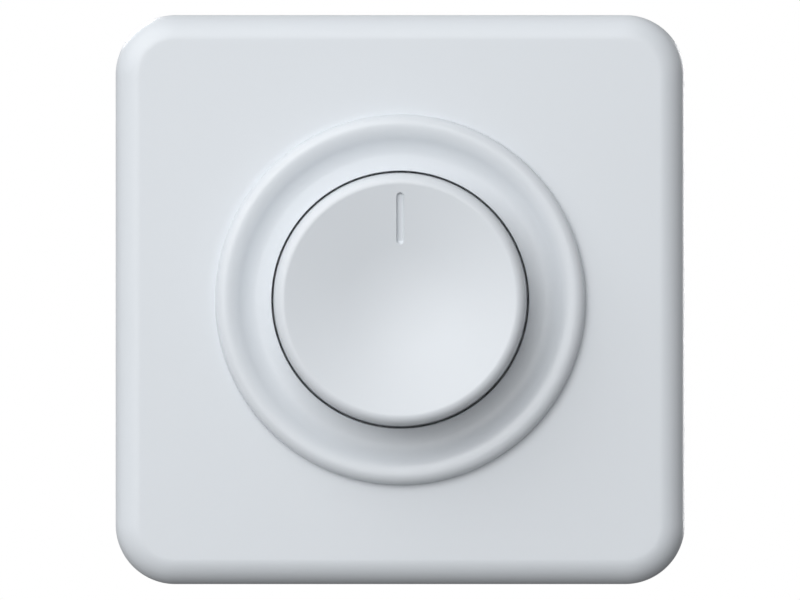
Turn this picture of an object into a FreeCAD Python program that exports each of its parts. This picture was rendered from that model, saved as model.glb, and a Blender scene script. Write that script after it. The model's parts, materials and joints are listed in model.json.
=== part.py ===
import FreeCAD, Part
import math
import os
import types

import Sketcher

# A flush rotary dimmer switch for a round wall box with screws 60 mm apart: a square cover
# frame, a round dished centre plate, a knob that turns and is pressed, a steel mounting ring
# with two spreading claws, and a moulded housing with the electronics behind it.
# X runs to the right as seen from the room, Y into the wall and Z up. The origin is on the
# knob's axis, in the plane of the wall, where the rear face of the mounting ring lies.

DIMENSIONS = {
    # Clearances
    "easy_fit": 0.3,             # between pieces that drop into each other
    "close_fit": 0.05,           # between pieces that slide or turn on each other
    # Cover frame
    "plate_width": 86.0,         # side of the square
    "plate_depth": 9.0,          # from the wall to the flat face
    "plate_corner": 9.0,         # corner radius seen from the front
    "plate_roll": 3.8,           # radius of the rolled front edge
    "plate_wall": 2.2,           # side walls
    "plate_face": 2.0,           # front wall
    "plate_draft": 0.8,          # slope of the side walls, degrees
    "collar_wall": 1.8,          # collar round the opening, at the back
    "rib_thickness": 1.2,
    "rib_offset": 14.0,          # from the middle lines of the frame
    "rib_stop": 3.2,             # where the ribs end, in front of the wall
    "post_radius": 1.5,          # posts that stop the frame from turning
    "post_offset": 33.5,         # from the middle lines
    # Centre plate
    "dish_floor_width": 2.2,     # flat floor, from the well outwards
    "dish_slope_width": 2.6,     # from the floor to where the inner slope turns over
    "dish_crest_width": 2.2,     # from there to the highest circle of the rim
    "dish_rim_round": 1.5,       # from the highest circle to the outer edge
    "dish_lap": 2.9,             # over the cover frame, round its opening
    "dish_crest": 2.2,           # height over the cover frame
    "dish_floor": 0.7,           # height over the cover frame
    "dish_skin": 1.5,
    "well_wall": 1.6,
    "well_floor": 1.5,
    "spigot_wall": 1.6,
    "spigot_length": 2.5,        # behind the face of the cover frame
    # Knob
    "knob_gap": 0.25,            # between the knob's foot and the well
    "knob_height": 10.9,         # over the cover frame
    "knob_radius": 18.9,         # below the bevel
    "knob_bevel": 2.0,           # depth of the bevel
    "knob_bevel_width": 1.7,
    "knob_slope": 8.5,           # slope of the face towards its middle, degrees
    "knob_bowl": 8.5,            # radius inside which the slope flattens out
    "knob_flat": 2.0,            # radius of the flat middle of the face
    "knob_skin": 1.6,
    "knob_foot": 0.25,           # how far the foot stands out under the wall
    "knob_wall": 1.7,
    "knob_foot_height": 1.4,     # top of the foot, over the cover frame
    "knob_draft": 0.1,           # how much wider the wall is at the foot
    "knob_lip": 0.35,            # depth of the slope onto the foot
    "knob_edge": 0.5,            # rounding of the bevel's edges
    "knob_foot_depth": 1.2,      # lower edge of the skirt, below the face of the cover frame
    "knob_travel": 2.0,
    "hub_radius": 5.0,
    "mark_width": 1.13,
    "mark_start": 8.3,           # inner end of the pointer groove, from the axis
    "mark_end": 16.1,
    "mark_depth": 0.45,
    "clip_wire": 0.7,            # thickness of the spring ring round the hub
    "clip_height": 1.3,
    # Shaft and its bushing
    "shaft_radius": 3.0,
    "shaft_flat": 1.5,           # from the axis to the flats
    "bushing_radius": 5.0,
    "bushing_proud": 0.7,        # beyond the nut
    "bushing_plate": 18.0,
    "bushing_plate_thickness": 1.5,
    "nut_flats": 14.0,
    "nut_thickness": 2.5,
    # Mounting ring
    "ring_width": 71.0,
    "ring_thickness": 1.2,
    "ring_corner": 4.0,
    "box_screw_spacing": 60.0,
    "box_slot_length": 7.0,
    "box_slot_width": 3.6,
    "wall_screw_spacing": 54.0,
    "wall_screw_hole": 4.2,      # diameter
    "rivet_across": 15.8,        # from the axis, along X
    "rivet_up": 12.5,            # from the axis, along Z
    "rivet_radius": 1.3,
    "rivet_head_radius": 2.0,
    "rivet_head": 0.6,
    # Claws
    "claw_pivot": 21.0,          # from the axis, along X
    "claw_pivot_depth": 0.75,    # behind the ring's rear face
    "claw_up": 7.5,              # from the axis, along Z
    "claw_width": 9.0,
    "claw_thickness": 1.0,
    "claw_angle": 20.0,          # tongue from the ring, and leg from the axis, degrees
    "claw_tongue": 6.2,          # length from the pivot
    "claw_leg": 13.6,
    "claw_tooth": 1.8,           # height of the leg's teeth
    "claw_screw_place": 3.4,     # from the pivot, along X
    "claw_screw_radius": 1.5,
    "claw_screw_end": 9.0,       # behind the ring's rear face
    "claw_head_radius": 2.8,
    "claw_head_height": 1.9,
    "claw_nut_across": 4.8,      # along X
    "claw_nut_up": 5.2,          # along Z
    "claw_nut_thickness": 2.4,
    # Housing
    "housing_width": 40.0,
    "housing_height": 49.0,
    "housing_round": 28.2,       # radius that rounds off its corners
    "housing_wall": 1.8,
    "housing_depth": 25.0,       # from the wall's plane to the rear
    "housing_back": 2.0,
    "lid_thickness": 1.6,
    "boss_radius": 16.0,
    "boss_height": 3.3,          # in front of the wall's plane
    "boss_wall": 2.0,
    "boss_bore": 13.2,           # radius of the hollow behind the boss
    "hook_up": 16.2,             # middle of the snap hooks, from the axis, along Z
    "hook_width": 3.0,
    "hook_length": 5.4,
    "hook_thickness": 1.0,
    "hook_nib": 0.7,
    "pillar_radius": 1.5,
    "vent_pitch": 4.5,
    "vent_up": 17.0,             # middle of the vents, from the axis, along Z
    "vent_length": 7.0,
    "vent_width": 1.4,
    # Circuit board
    "board_front": 9.0,          # behind the wall's plane
    "board_thickness": 1.6,
    "board_bottom": 13.5,        # below the axis
    # Turning part of the control
    "pot_radius": 10.0,
    "pot_wall": 1.2,
    "rotor_front": 3.5,          # behind the wall's plane
    "rotor_thickness": 2.5,
    "rotor_radius": 6.4,
    "stop_angle": 150.0,         # travel each way from the middle, degrees
    "stop_half_angle": 14.75,    # half width of the stop and of the lug that meets it, degrees
    "track_thickness": 0.8,
    "wiper_sheet": 0.3,          # thickness of the sprung contact
    "wiper_ring": 1.2,           # width of its ring
    "wiper_half_angle": 11.0,    # half width of its fingers, degrees
    "shaft_ring_thickness": 0.7,
    # Push switch
    "switch_width": 14.0,
    "switch_depth": 12.0,
    "switch_wall": 1.0,
    "plunger_radius": 2.5,
    "plunger_head": 8.0,
    "plunger_head_thickness": 2.2,
    "plunger_tail": 1.0,         # behind the bridge
    "bridge_length": 10.0,
    "bridge_width": 3.2,
    "bridge_thickness": 0.5,
    "blade_thickness": 0.4,
    "blade_width": 3.0,
    "contact_length": 1.8,       # of a blade under the bridge
    "spring_radius": 1.7,        # middle of the wire
    "spring_wire": 0.4,          # diameter
    "spring_turns": 4.0,
    # Power parts
    "spreader_left": 2.0,
    "spreader_right": 13.5,
    "spreader_bottom": 11.3,
    "spreader_top": 21.9,
    "spreader_thickness": 1.5,
    "pad_thickness": 0.2,
    "triac_width": 10.0,
    "triac_tab": 1.3,
    "triac_body": 4.4,
    "triac_body_length": 8.9,
    "triac_hole": 2.8,           # from the end of the tab
    "triac_pitch": 2.54,         # between its legs
    "triac_leg": 0.65,           # from the body to the middle of a leg
    "triac_leg_width": 0.7,
    "triac_leg_thickness": 0.5,
    "choke_across": 10.0,        # left of the axis
    "choke_up": 14.6,
    "choke_inner": 3.4,
    "choke_outer": 6.1,
    "choke_height": 4.6,
    "winding_layer": 0.85,
    # Small parts
    "resistor_radius": 1.2,
    "resistor_length": 4.6,
    "resistor_side": 1.9,        # from the side of the turning part to the body
    "resistor_pitch": 5.0,
    "resistor_lead": 0.5,        # thickness of the leads
    "resistor_bend": 0.65,       # from the body's end to the middle of a lead
    "varistor_radius": 5.1,
    "varistor_thickness": 3.8,
    "varistor_pitch": 5.0,       # between its legs
    "varistor_leg": 0.35,        # radius
    "varistor_left": 6.4,        # from the axis
    "varistor_up": 15.4,
    "lead_hole": 0.6,            # radius of the holes in the board
    "film_width": 8.2,
    "film_height": 15.2,
    "film_depth": 9.6,
    "film_left": 17.2,           # from the axis to its outer side
    "can_radius": 4.0,
    "can_height": 10.4,
    "can_right": 5.6,            # from the axis
    "can_up": 15.8,
    "chip_right": 14.3,          # from the axis to its middle
    "chip_width": 3.8,
    "chip_length": 10.0,
    "chip_height": 2.8,
    "chip_lift": 0.4,            # over the board
    "chip_pitch": 2.54,          # between its legs
    "chip_leg": 0.5,
    "chip_leg_reach": 2.8,       # from its middle to the outside of a leg
    "pin_pitch": 2.5,            # between the pins of the track
    "pin_width": 0.8,
    "pin_thickness": 0.4,
    "pin_down": 8.2,             # below the axis
    "fuse_length": 20.0,
    "fuse_radius": 2.3,
    "fuse_cap_radius": 2.6,
    "fuse_cap_length": 4.5,
    "fuse_right": 12.9,          # from the axis
    "fuse_lift": 3.1,            # its middle, behind the board
    "clip_width": 3.6,           # of the clips that hold the fuse
    "clip_sheet": 0.4,
    "clip_reach": 1.6,           # past the middle of the fuse
    # Terminals
    "terminal_pitch": 9.0,
    "terminal_width": 7.2,
    "terminal_bottom": 22.4,     # below the axis
    "terminal_top": 15.0,        # below the axis
    "terminal_front": 14.0,      # behind the wall's plane
    "terminal_screw_radius": 1.5,
    "terminal_head_radius": 2.0,
    "terminal_head_height": 1.6,
    "terminal_screw_length": 3.2,
    "terminal_slot": 0.6,
    "cage_wall": 0.9,
    "bar_width": 3.6,
    "bar_thickness": 0.7,
    "wire_hole_width": 3.2,
    "wire_hole_height": 6.4,
}


class Size:
    """A size with its number now and the expression that gives it from the sheet."""

    def __init__(self, number, text):
        self.number = number
        self.text = text

    def joined(self, other, sign, number):
        return Size(number, f"({self.text} {sign} {as_size(other).text})")

    def __add__(self, other):
        return self.joined(other, "+", self.number + as_size(other).number)

    def __sub__(self, other):
        return self.joined(other, "-", self.number - as_size(other).number)

    def __mul__(self, other):
        return self.joined(other, "*", self.number * as_size(other).number)

    def __truediv__(self, other):
        return self.joined(other, "/", self.number / as_size(other).number)

    def __radd__(self, other):
        return as_size(other) + self

    def __rsub__(self, other):
        return as_size(other) - self

    def __rmul__(self, other):
        return as_size(other) * self

    def __neg__(self):
        return Size(-self.number, f"(-1 * {self.text})")


def as_size(value):
    return value if isinstance(value, Size) else Size(float(value), f"({float(value):.6g})")


def root(size):
    return Size(math.sqrt(size.number), f"sqrt({size.text})")


def sine(angle):
    angle = as_size(angle)
    return Size(math.sin(math.radians(angle.number)), f"sin({angle.text} * 1 deg)")


def cosine(angle):
    angle = as_size(angle)
    return Size(math.cos(math.radians(angle.number)), f"cos({angle.text} * 1 deg)")


# The document and its sheet of sizes

document = FreeCAD.newDocument("rotary_dimmer_switch")
sheet = document.addObject("Spreadsheet::Sheet", "sizes")
for row, (alias, value) in enumerate(DIMENSIONS.items(), 1):
    sheet.set(f"A{row}", alias.replace("_", " "))
    sheet.set(f"B{row}", str(value))
    sheet.setAlias(f"B{row}", alias)
document.recompute()
d = types.SimpleNamespace(**{alias: Size(value, f"sizes.{alias}") for alias, value in DIMENSIONS.items()})


# Sizes that follow from the driving ones, all along Y, negative in front of the wall

plate_front = -d.plate_depth
plate_inside = plate_front + d.plate_face
ring_front = -d.ring_thickness
boss_front = -d.boss_height
boss_inside = boss_front + d.boss_wall
well_front = boss_front - d.well_floor
nut_front = well_front - d.nut_thickness
bushing_front = nut_front - d.bushing_proud
hub_end = bushing_front - d.knob_travel - d.easy_fit
knob_front = plate_front - d.knob_height
knob_face_radius = d.knob_radius - d.knob_bevel_width
knob_bowl_round = d.knob_bowl / sine(d.knob_slope)
knob_slope_rise = sine(d.knob_slope) / cosine(d.knob_slope)
knob_hollow = (knob_face_radius - d.knob_bowl) * knob_slope_rise - knob_bowl_round * cosine(d.knob_slope) \
    + root(knob_bowl_round * knob_bowl_round - d.knob_flat * d.knob_flat)
knob_ceiling = knob_front + knob_hollow + d.knob_skin
shaft_front = knob_ceiling + 2 * d.easy_fit
pot_front = boss_inside + d.bushing_plate_thickness
board_back = d.board_front + d.board_thickness
pot_floor = d.board_front - d.pot_wall
track_front = pot_floor - d.track_thickness
rotor_back = d.rotor_front + d.rotor_thickness
shaft_back = board_back + d.easy_fit
plunger_front = shaft_back + d.close_fit
switch_back = board_back + d.switch_depth
housing_floor = d.housing_depth - d.housing_back

# Other sizes that follow

knob_foot_radius = d.knob_radius + d.knob_foot
well_radius = knob_foot_radius + d.knob_gap
dish_floor_radius = well_radius + d.dish_floor_width
dish_crease_radius = dish_floor_radius + d.dish_slope_width
dish_crest_radius = dish_crease_radius + d.dish_crest_width
dish_radius = dish_crest_radius + d.dish_rim_round
plate_opening = dish_radius - d.dish_lap
dish_opening_radius = plate_opening - d.easy_fit
spread = d.claw_angle
claw_screw_across = d.claw_pivot + d.claw_screw_place
claw_reach = d.claw_screw_place + d.claw_nut_across / 2
terminal_places = (-d.terminal_pitch, as_size(0), d.terminal_pitch)
cage_back = housing_floor - d.close_fit
terminal_middle = (d.terminal_front + cage_back) / 2
plunger_head = board_back + d.switch_wall + d.knob_travel + d.easy_fit
bridge_front = plunger_head + d.plunger_head_thickness
bridge_back = bridge_front + d.bridge_thickness
contact_front = bridge_back + d.knob_travel + d.close_fit
blade_out = d.switch_width / 2 - d.switch_wall - d.close_fit
blade_in = blade_out - d.blade_thickness
spreader_back = d.lid_thickness + d.spreader_thickness
pad_back = spreader_back + d.pad_thickness
tab_back = pad_back + d.triac_tab
triac_left = d.easy_fit - d.spreader_left
triac_length = d.spreader_right + d.spreader_left - 2 * d.easy_fit
triac_up = (d.spreader_bottom + d.spreader_top) / 2
triac_hole = triac_left + d.triac_hole
choke_middle = d.board_front - d.easy_fit - d.choke_height / 2 - d.winding_layer
resistor_across = -d.pot_radius - d.resistor_length / 2 - d.resistor_side
resistor_reach = d.resistor_length / 2 + d.resistor_bend
resistor_places = (-d.resistor_pitch, as_size(0), d.resistor_pitch)
fuse_depth = board_back + d.fuse_lift
fuse_cap_up = (d.fuse_length - d.fuse_cap_length) / 2


# Helpers that draw sketches and add features

def new_body(name):
    body = document.addObject("PartDesign::Body", name)
    body.Label = name
    body.AllowCompound = True
    return body


def origin_part(body, role):
    return next(part for part in body.Origin.OriginFeatures if part.Role == role)


def bind(item, path, size):
    item.setExpression(path, as_size(size).text)


def place(body, x=0, y=0, z=0, turn=0):
    """Sets the body's place, turned about Y by whole half turns for a mirrored pair."""
    body.Placement = FreeCAD.Placement(FreeCAD.Vector(), FreeCAD.Rotation(FreeCAD.Vector(0, 1, 0), turn))
    bind(body, "Placement.Base.x", x)
    bind(body, "Placement.Base.y", y)
    bind(body, "Placement.Base.z", z)


def new_sketch(body, role, offset):
    """A sketch on one of the body's origin planes, moved along the plane's normal."""
    sketch = body.newObject("Sketcher::SketchObject", "profile")
    sketch.AttachmentSupport = [(origin_part(body, role), "")]
    sketch.MapMode = "FlatFace"
    bind(sketch, "AttachmentOffset.Base.z", offset)
    return sketch


def front_sketch(body, depth=0):
    """Sketch X is X and sketch Y is Z. Its normal points to the room."""
    return new_sketch(body, "XZ_Plane", -as_size(depth))


def level_sketch(body, height=0):
    """Sketch X is X and sketch Y is Y. Its normal points up."""
    return new_sketch(body, "XY_Plane", height)


def side_sketch(body, across=0):
    """Sketch X is Y and sketch Y is Z. Its normal points to the right."""
    return new_sketch(body, "YZ_Plane", across)


def constrain(sketch, rules):
    """Adds constraints in one go. A rule is a kind, the places it holds and, maybe, its size."""
    constraints = []
    for kind, where, size in rules:
        numbers = () if size is None else (size.number,)
        constraints.append(Sketcher.Constraint(kind, *where, *numbers))
    indices = sketch.addConstraint(constraints)
    for index, (kind, where, size) in zip(indices, rules):
        if size is not None and "sizes." in size.text:
            sketch.setExpression(f"Constraints[{index}]", size.text)


def at_point(geometry, point, x, y):
    """The two rules that hold a point of some geometry at a place."""
    where = (-1, 1, geometry, point)
    return [("DistanceX", where, as_size(x)), ("DistanceY", where, as_size(y))]


def arc_between(start, end, radius):
    """The shorter arc from start to end, turning left, or right when the radius is negative."""
    chord = end - start
    half = chord.Length / 2
    left = FreeCAD.Vector(-chord.y, chord.x, 0) / chord.Length
    rise = math.sqrt(max(radius * radius - half * half, 0))
    centre = (start + end) / 2 + left * math.copysign(rise, radius)
    first, last = (start, end) if radius > 0 else (end, start)
    first_angle = math.atan2(first.y - centre.y, first.x - centre.x)
    last_angle = math.atan2(last.y - centre.y, last.x - centre.x)
    if last_angle < first_angle:
        last_angle += 2 * math.pi
    full = Part.Circle(centre, FreeCAD.Vector(0, 0, 1), abs(radius))
    return Part.ArcOfCircle(full, first_angle, last_angle)


def arc_rule(geometry, start, end, radius):
    """Holds an arc between its ends: by its radius, or a half circle by its centre."""
    across = end[0].number - start[0].number
    up = end[1].number - start[1].number
    if math.hypot(across, up) < 2 * abs(radius.number) - 1e-6:
        return "Radius", (geometry,), radius if radius.number > 0 else -radius
    if abs(across) > abs(up):
        return "DistanceY", (-1, 1, geometry, 3), (start[1] + end[1]) / 2
    return "DistanceX", (-1, 1, geometry, 3), (start[0] + end[0]) / 2


def outline(sketch, steps):
    """A closed loop. A step is (x, y), reached by a line, or (x, y, radius), reached by an arc."""
    base = sketch.GeometryCount
    points = [(as_size(step[0]), as_size(step[1])) for step in steps]
    spots = [FreeCAD.Vector(x.number, y.number, 0) for x, y in points]
    radii = [as_size(step[2]) if len(step) == 3 else None for step in steps]
    pieces = []
    ends = []
    for index, radius in enumerate(radii):
        if radius is None:
            pieces.append(Part.LineSegment(spots[index - 1], spots[index]))
        else:
            pieces.append(arc_between(spots[index - 1], spots[index], radius.number))
        ends.append((1, 2) if radius is None or radius.number > 0 else (2, 1))
    sketch.addGeometry(pieces)
    rules = []
    for index, (x, y) in enumerate(points):
        following = (index + 1) % len(points)
        joint = (base + index, ends[index][1], base + following, ends[following][0])
        rules.append(("Coincident", joint, None))
        rules += at_point(base + index, ends[index][1], x, y)
        if radii[index] is not None:
            rules.append(arc_rule(base + index, points[index - 1], (x, y), radii[index]))
    constrain(sketch, rules)


def circle(sketch, radius, x=0, y=0):
    radius, x, y = as_size(radius), as_size(x), as_size(y)
    centre = FreeCAD.Vector(x.number, y.number, 0)
    index = sketch.addGeometry(Part.Circle(centre, FreeCAD.Vector(0, 0, 1), radius.number))
    constrain(sketch, at_point(index, 3, x, y) + [("Radius", (index,), radius)])


def rectangle(sketch, left, right, low, high):
    outline(sketch, [(left, low), (right, low), (right, high), (left, high)])


def rounded_rectangle(sketch, width, height, radius):
    across = width / 2
    up = height / 2
    outline(sketch, [
        (across, radius - up, radius),
        (across, up - radius),
        (across - radius, up, radius),
        (radius - across, up),
        (-across, up - radius, radius),
        (-across, radius - up),
        (radius - across, -up, radius),
        (across - radius, -up),
    ])


def oblong(sketch, x, y, along, across, length, width):
    """A slot with round ends. along and across are unit steps such as (1, 0) and (0, 1)."""
    half = (length - width) / 2
    radius = width / 2
    corners = []
    for end, side in ((1, -1), (1, 1), (-1, 1), (-1, -1)):
        corners.append((
            x + half * (end * along[0]) + radius * (side * across[0]),
            y + half * (end * along[1]) + radius * (side * across[1]),
        ))
    turn = radius * (1 if along[0] * across[1] - along[1] * across[0] > 0 else -1)
    outline(sketch, [corners[0], (*corners[1], turn), corners[2], (*corners[3], turn)])


def strip(sketch, angle, start, length, width):
    """A rectangle of the given width along a line from the sketch's origin, at the angle."""
    ahead = (cosine(angle), sine(angle))
    corners = []
    for far, side in ((0, -1), (1, -1), (1, 1), (0, 1)):
        reach = start + length * far
        corners.append((
            ahead[0] * reach - ahead[1] * width * (side / 2),
            ahead[1] * reach + ahead[0] * width * (side / 2),
        ))
    outline(sketch, corners)


def sector(sketch, inner, outer, middle, half_angle):
    """A piece of a ring between two radii, about the sketch's origin."""
    first = middle - half_angle
    last = middle + half_angle
    outline(sketch, [
        (inner * cosine(first), inner * sine(first), -inner),
        (outer * cosine(first), outer * sine(first)),
        (outer * cosine(last), outer * sine(last), outer),
        (inner * cosine(last), inner * sine(last)),
    ])


def hexagon(sketch, flats):
    corner = flats / (2 * cosine(30))
    outline(sketch, [(corner * cosine(60 * side), corner * sine(60 * side)) for side in range(6)])


def housing_outline(sketch, inset=0):
    """The housing seen from the front: a rectangle whose corners a circle rounds off."""
    across = d.housing_width / 2 - inset
    up = d.housing_height / 2 - inset
    rounding = d.housing_round - inset
    corner_up = root(rounding * rounding - across * across)
    corner_across = root(rounding * rounding - up * up)
    outline(sketch, [
        (across, corner_up),
        (corner_across, up, rounding),
        (-corner_across, up),
        (-across, corner_up, rounding),
        (-across, -corner_up),
        (-corner_across, -up, rounding),
        (corner_across, -up),
        (across, -corner_up, rounding),
    ])


def extrude(body, kind, sketch, length, along, both_ways=False, taper=None):
    feature = body.newObject(kind, "step")
    feature.Profile = sketch
    bind(feature, "Length", length)
    feature.Reversed = not along
    if both_ways:
        feature.SideType = "Symmetric"
    if taper is not None:
        bind(feature, "TaperAngle", taper)
    return feature


def pad(body, sketch, length, along=True, both_ways=False, taper=None):
    """Adds material along the sketch's normal, or against it."""
    return extrude(body, "PartDesign::Pad", sketch, length, along, both_ways, taper)


def pocket(body, sketch, length, along=True, both_ways=False, taper=None):
    """Removes material along the sketch's normal, or against it."""
    return extrude(body, "PartDesign::Pocket", sketch, length, not along, both_ways, taper)


def turned(body, kind, steps, angle=360):
    """A ring about Y. The steps are (radius, depth) and may have an arc's radius."""
    sketch = level_sketch(body)
    outline(sketch, steps)
    feature = body.newObject(kind, "turned")
    feature.Profile = sketch
    feature.ReferenceAxis = (sketch, ["V_Axis"])
    feature.Angle = angle
    return feature


def revolve(body, steps, angle=360):
    return turned(body, "PartDesign::Revolution", steps, angle)


def polar(body, feature, count):
    """Repeats the feature about Y."""
    pattern = body.newObject("PartDesign::PolarPattern", "pattern")
    pattern.Originals = [feature]
    pattern.Axis = (origin_part(body, "Y_Axis"), [""])
    pattern.Angle = 360
    pattern.Occurrences = count
    body.Tip = pattern
    return pattern


def in_plane(axis, spot):
    """A test for edges that lie wholly in a plane across the axis x, y or z."""
    spot = as_size(spot).number

    def test(edge):
        box = edge.BoundBox
        low = getattr(box, axis.upper() + "Min")
        high = getattr(box, axis.upper() + "Max")
        return abs(low - spot) < 0.01 and abs(high - spot) < 0.01
    return test


def dress(body, kind, path, size, test):
    document.recompute()
    base = body.Tip
    chosen = [f"Edge{index}" for index, edge in enumerate(base.Shape.Edges, 1) if test(edge)]
    if not chosen:
        raise ValueError(f"no edge to dress on {body.Label}")
    feature = body.newObject(kind, "edge")
    feature.Base = (base, chosen)
    bind(feature, path, size)
    return feature


def fillet(body, radius, test):
    return dress(body, "PartDesign::Fillet", "Radius", radius, test)


def chamfer(body, size, test):
    return dress(body, "PartDesign::Chamfer", "Size", size, test)


# Front trim

def cover_frame():
    """The square frame: a thin moulded shell with a rolled edge, a collar, ribs and posts."""
    body = new_body("cover_frame")
    sketch = front_sketch(body)
    rounded_rectangle(sketch, d.plate_width, d.plate_width, d.plate_corner)
    pad(body, sketch, d.plate_depth, taper=-d.plate_draft)
    fillet(body, d.plate_roll, in_plane("y", plate_front))
    inside = d.plate_width - 2 * d.plate_wall
    sketch = front_sketch(body)
    rounded_rectangle(sketch, inside, inside, d.plate_corner - d.plate_wall)
    pocket(body, sketch, d.plate_depth - d.plate_face, taper=-d.plate_draft)
    fillet(body, d.plate_roll - d.plate_face, in_plane("y", plate_inside))
    collar_radius = plate_opening + d.collar_wall
    sketch = front_sketch(body, ring_front)
    circle(sketch, collar_radius)
    circle(sketch, plate_opening)
    pad(body, sketch, ring_front - plate_inside)
    sketch = front_sketch(body)
    circle(sketch, plate_opening)
    pocket(body, sketch, d.plate_depth)
    cover_frame_ribs(body, inside, collar_radius)
    sketch = front_sketch(body, ring_front / 2)
    for x in (-d.post_offset, d.post_offset):
        for z in (-d.post_offset, d.post_offset):
            circle(sketch, d.post_radius, x, z)
    pad(body, sketch, ring_front / 2 - plate_inside)
    # Notches in the collar for the heads of the claw screws, whichever way the frame is turned
    sketch = front_sketch(body, ring_front)
    circle(sketch, d.claw_head_radius + 2 * d.easy_fit, claw_screw_across, d.claw_up)
    notch = pocket(body, sketch, d.claw_head_height + 2 * d.easy_fit)
    polar(body, notch, 4)
    return body


def cover_frame_ribs(body, inside, collar_radius):
    """Eight ribs that run from the collar to the side walls."""
    start_radius = collar_radius - d.collar_wall / 2
    start = root(start_radius * start_radius - d.rib_offset * d.rib_offset)
    end = inside / 2
    half = d.rib_thickness / 2
    sketch = front_sketch(body, -d.rib_stop)
    for offset in (-d.rib_offset, d.rib_offset):
        rectangle(sketch, start, end, offset - half, offset + half)
        rectangle(sketch, -end, -start, offset - half, offset + half)
        rectangle(sketch, offset - half, offset + half, start, end)
        rectangle(sketch, offset - half, offset + half, -end, -start)
    pad(body, sketch, -d.rib_stop - plate_inside)


def centre_dish():
    """The round centre plate: a raised rim, a shallow floor and the deep well of the knob."""
    body = new_body("centre_dish")
    floor = plate_front - d.dish_floor
    crest = plate_front - d.dish_crest
    under = floor + d.dish_skin
    slope = (d.dish_crest - d.dish_floor) / (d.dish_slope_width + d.dish_crest_width)
    crease = floor - slope * d.dish_slope_width
    sweep = (1 + slope * slope) / (2 * slope)
    well_outside = well_radius + d.well_wall
    spigot_inside = dish_opening_radius - d.spigot_wall
    spigot_end = plate_front + d.spigot_length
    hole = d.bushing_radius + d.easy_fit / 2
    revolve(body, [
        (hole, well_front),
        (hole, boss_front),
        (well_outside, boss_front),
        (well_outside, under),
        (spigot_inside, under),
        (spigot_inside, spigot_end),
        (dish_opening_radius, spigot_end),
        (dish_opening_radius, plate_front),
        (dish_radius, plate_front),
        (dish_radius, crest + d.dish_rim_round),
        (dish_crest_radius, crest, -d.dish_rim_round),
        (dish_crease_radius, crease, -sweep * d.dish_crest_width),
        (dish_floor_radius, floor, sweep * d.dish_slope_width),
        (well_radius, floor),
        (well_radius, well_front),
    ])
    sketch = front_sketch(body, under + d.rib_thickness)
    half = d.rib_thickness / 2
    rectangle(sketch, well_radius + d.well_wall / 2, spigot_inside + d.spigot_wall / 2, -half, half)
    rib = pad(body, sketch, d.rib_thickness)
    polar(body, rib, 12)
    return body


def knob():
    """The turning knob: a bevelled cup with a concave face, a hub with a D hole and six ribs."""
    body = new_body("knob")
    bevel_back = knob_front + d.knob_bevel
    foot_front = plate_front - d.knob_foot_height
    skirt_end = plate_front + d.knob_foot_depth
    inner = d.knob_radius - d.knob_wall
    # The bevel's two edges are rounded: each arc starts and ends one edge length from its corner
    edge = d.knob_edge
    across = d.knob_bevel_width
    bevel = root(across * across + d.knob_bevel * d.knob_bevel)
    step_out = edge * across / bevel
    step_back = edge * d.knob_bevel / bevel
    slope_out = cosine(d.knob_slope)
    slope_back = sine(d.knob_slope)
    turn_cosine = (across * slope_out - d.knob_bevel * slope_back) / bevel
    turn_sine = (d.knob_bevel * slope_out + across * slope_back) / bevel
    front_round = edge * (1 + turn_cosine) / turn_sine
    side_round = edge * (bevel + d.knob_bevel) / across
    # The face is a shallow cone with a rounded bottom that is flat in the middle
    revolve(body, [
        (0, knob_ceiling),
        (0, knob_front + knob_hollow),
        (d.knob_flat, knob_front + knob_hollow),
        (d.knob_bowl, face_depth(d.knob_bowl), -knob_bowl_round),
        (knob_face_radius - edge * slope_out, knob_front + edge * slope_back),
        (knob_face_radius + step_out, knob_front + step_back, front_round),
        (d.knob_radius - step_out, bevel_back - step_back),
        (d.knob_radius, bevel_back + edge, side_round),
        (d.knob_radius + d.knob_draft, foot_front),
        (knob_foot_radius, foot_front + d.knob_lip),
        (knob_foot_radius, skirt_end),
        (inner, skirt_end),
        (inner, knob_ceiling),
    ])
    sketch = front_sketch(body, hub_end)
    circle(sketch, d.hub_radius)
    pad(body, sketch, hub_end - knob_ceiling)
    rib_end = knob_ceiling + (hub_end - knob_ceiling) / 2
    sketch = front_sketch(body, rib_end)
    half = d.rib_thickness / 2
    rectangle(sketch, d.hub_radius - half, inner + half, -half, half)
    rib = pad(body, sketch, rib_end - knob_ceiling)
    polar(body, rib, 6)
    sketch = front_sketch(body, hub_end)
    d_hole(sketch, d.close_fit / 2)
    pocket(body, sketch, hub_end - shaft_front + d.easy_fit)
    pointer_groove(body)
    return body


def face_depth(radius):
    """Where the sloping part of the knob's face lies at a radius."""
    return knob_front + (knob_face_radius - radius) * knob_slope_rise


def pointer_groove(body):
    """The pointer: a round-ended groove whose floor lies along the sloping face."""
    middle = (d.mark_start + d.mark_end) / 2
    face = face_depth(middle)
    sketch = new_sketch(body, "XZ_Plane", -face)
    sketch.AttachmentOffset = FreeCAD.Placement(
        FreeCAD.Vector(), FreeCAD.Rotation(FreeCAD.Vector(1, 0, 0), d.knob_slope.number))
    bind(sketch, "AttachmentOffset.Base.z", -face)
    bind(sketch, "AttachmentOffset.Base.y", middle)
    bind(sketch, "AttachmentOffset.Rotation.Angle", d.knob_slope)
    oblong(sketch, as_size(0), as_size(0), (0, 1), (1, 0), d.mark_end - d.mark_start, d.mark_width)
    pocket(body, sketch, d.mark_depth * 2, along=False, both_ways=True)


def d_hole(sketch, gap=0):
    """The shaft's section with a flat, drawn larger by the gap."""
    radius = d.shaft_radius + gap
    flat = d.shaft_flat + gap
    across = root(radius * radius - flat * flat)
    outline(sketch, [
        (across, flat, radius),
        (-across, flat),
        (0, -radius, radius),
    ])


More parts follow.
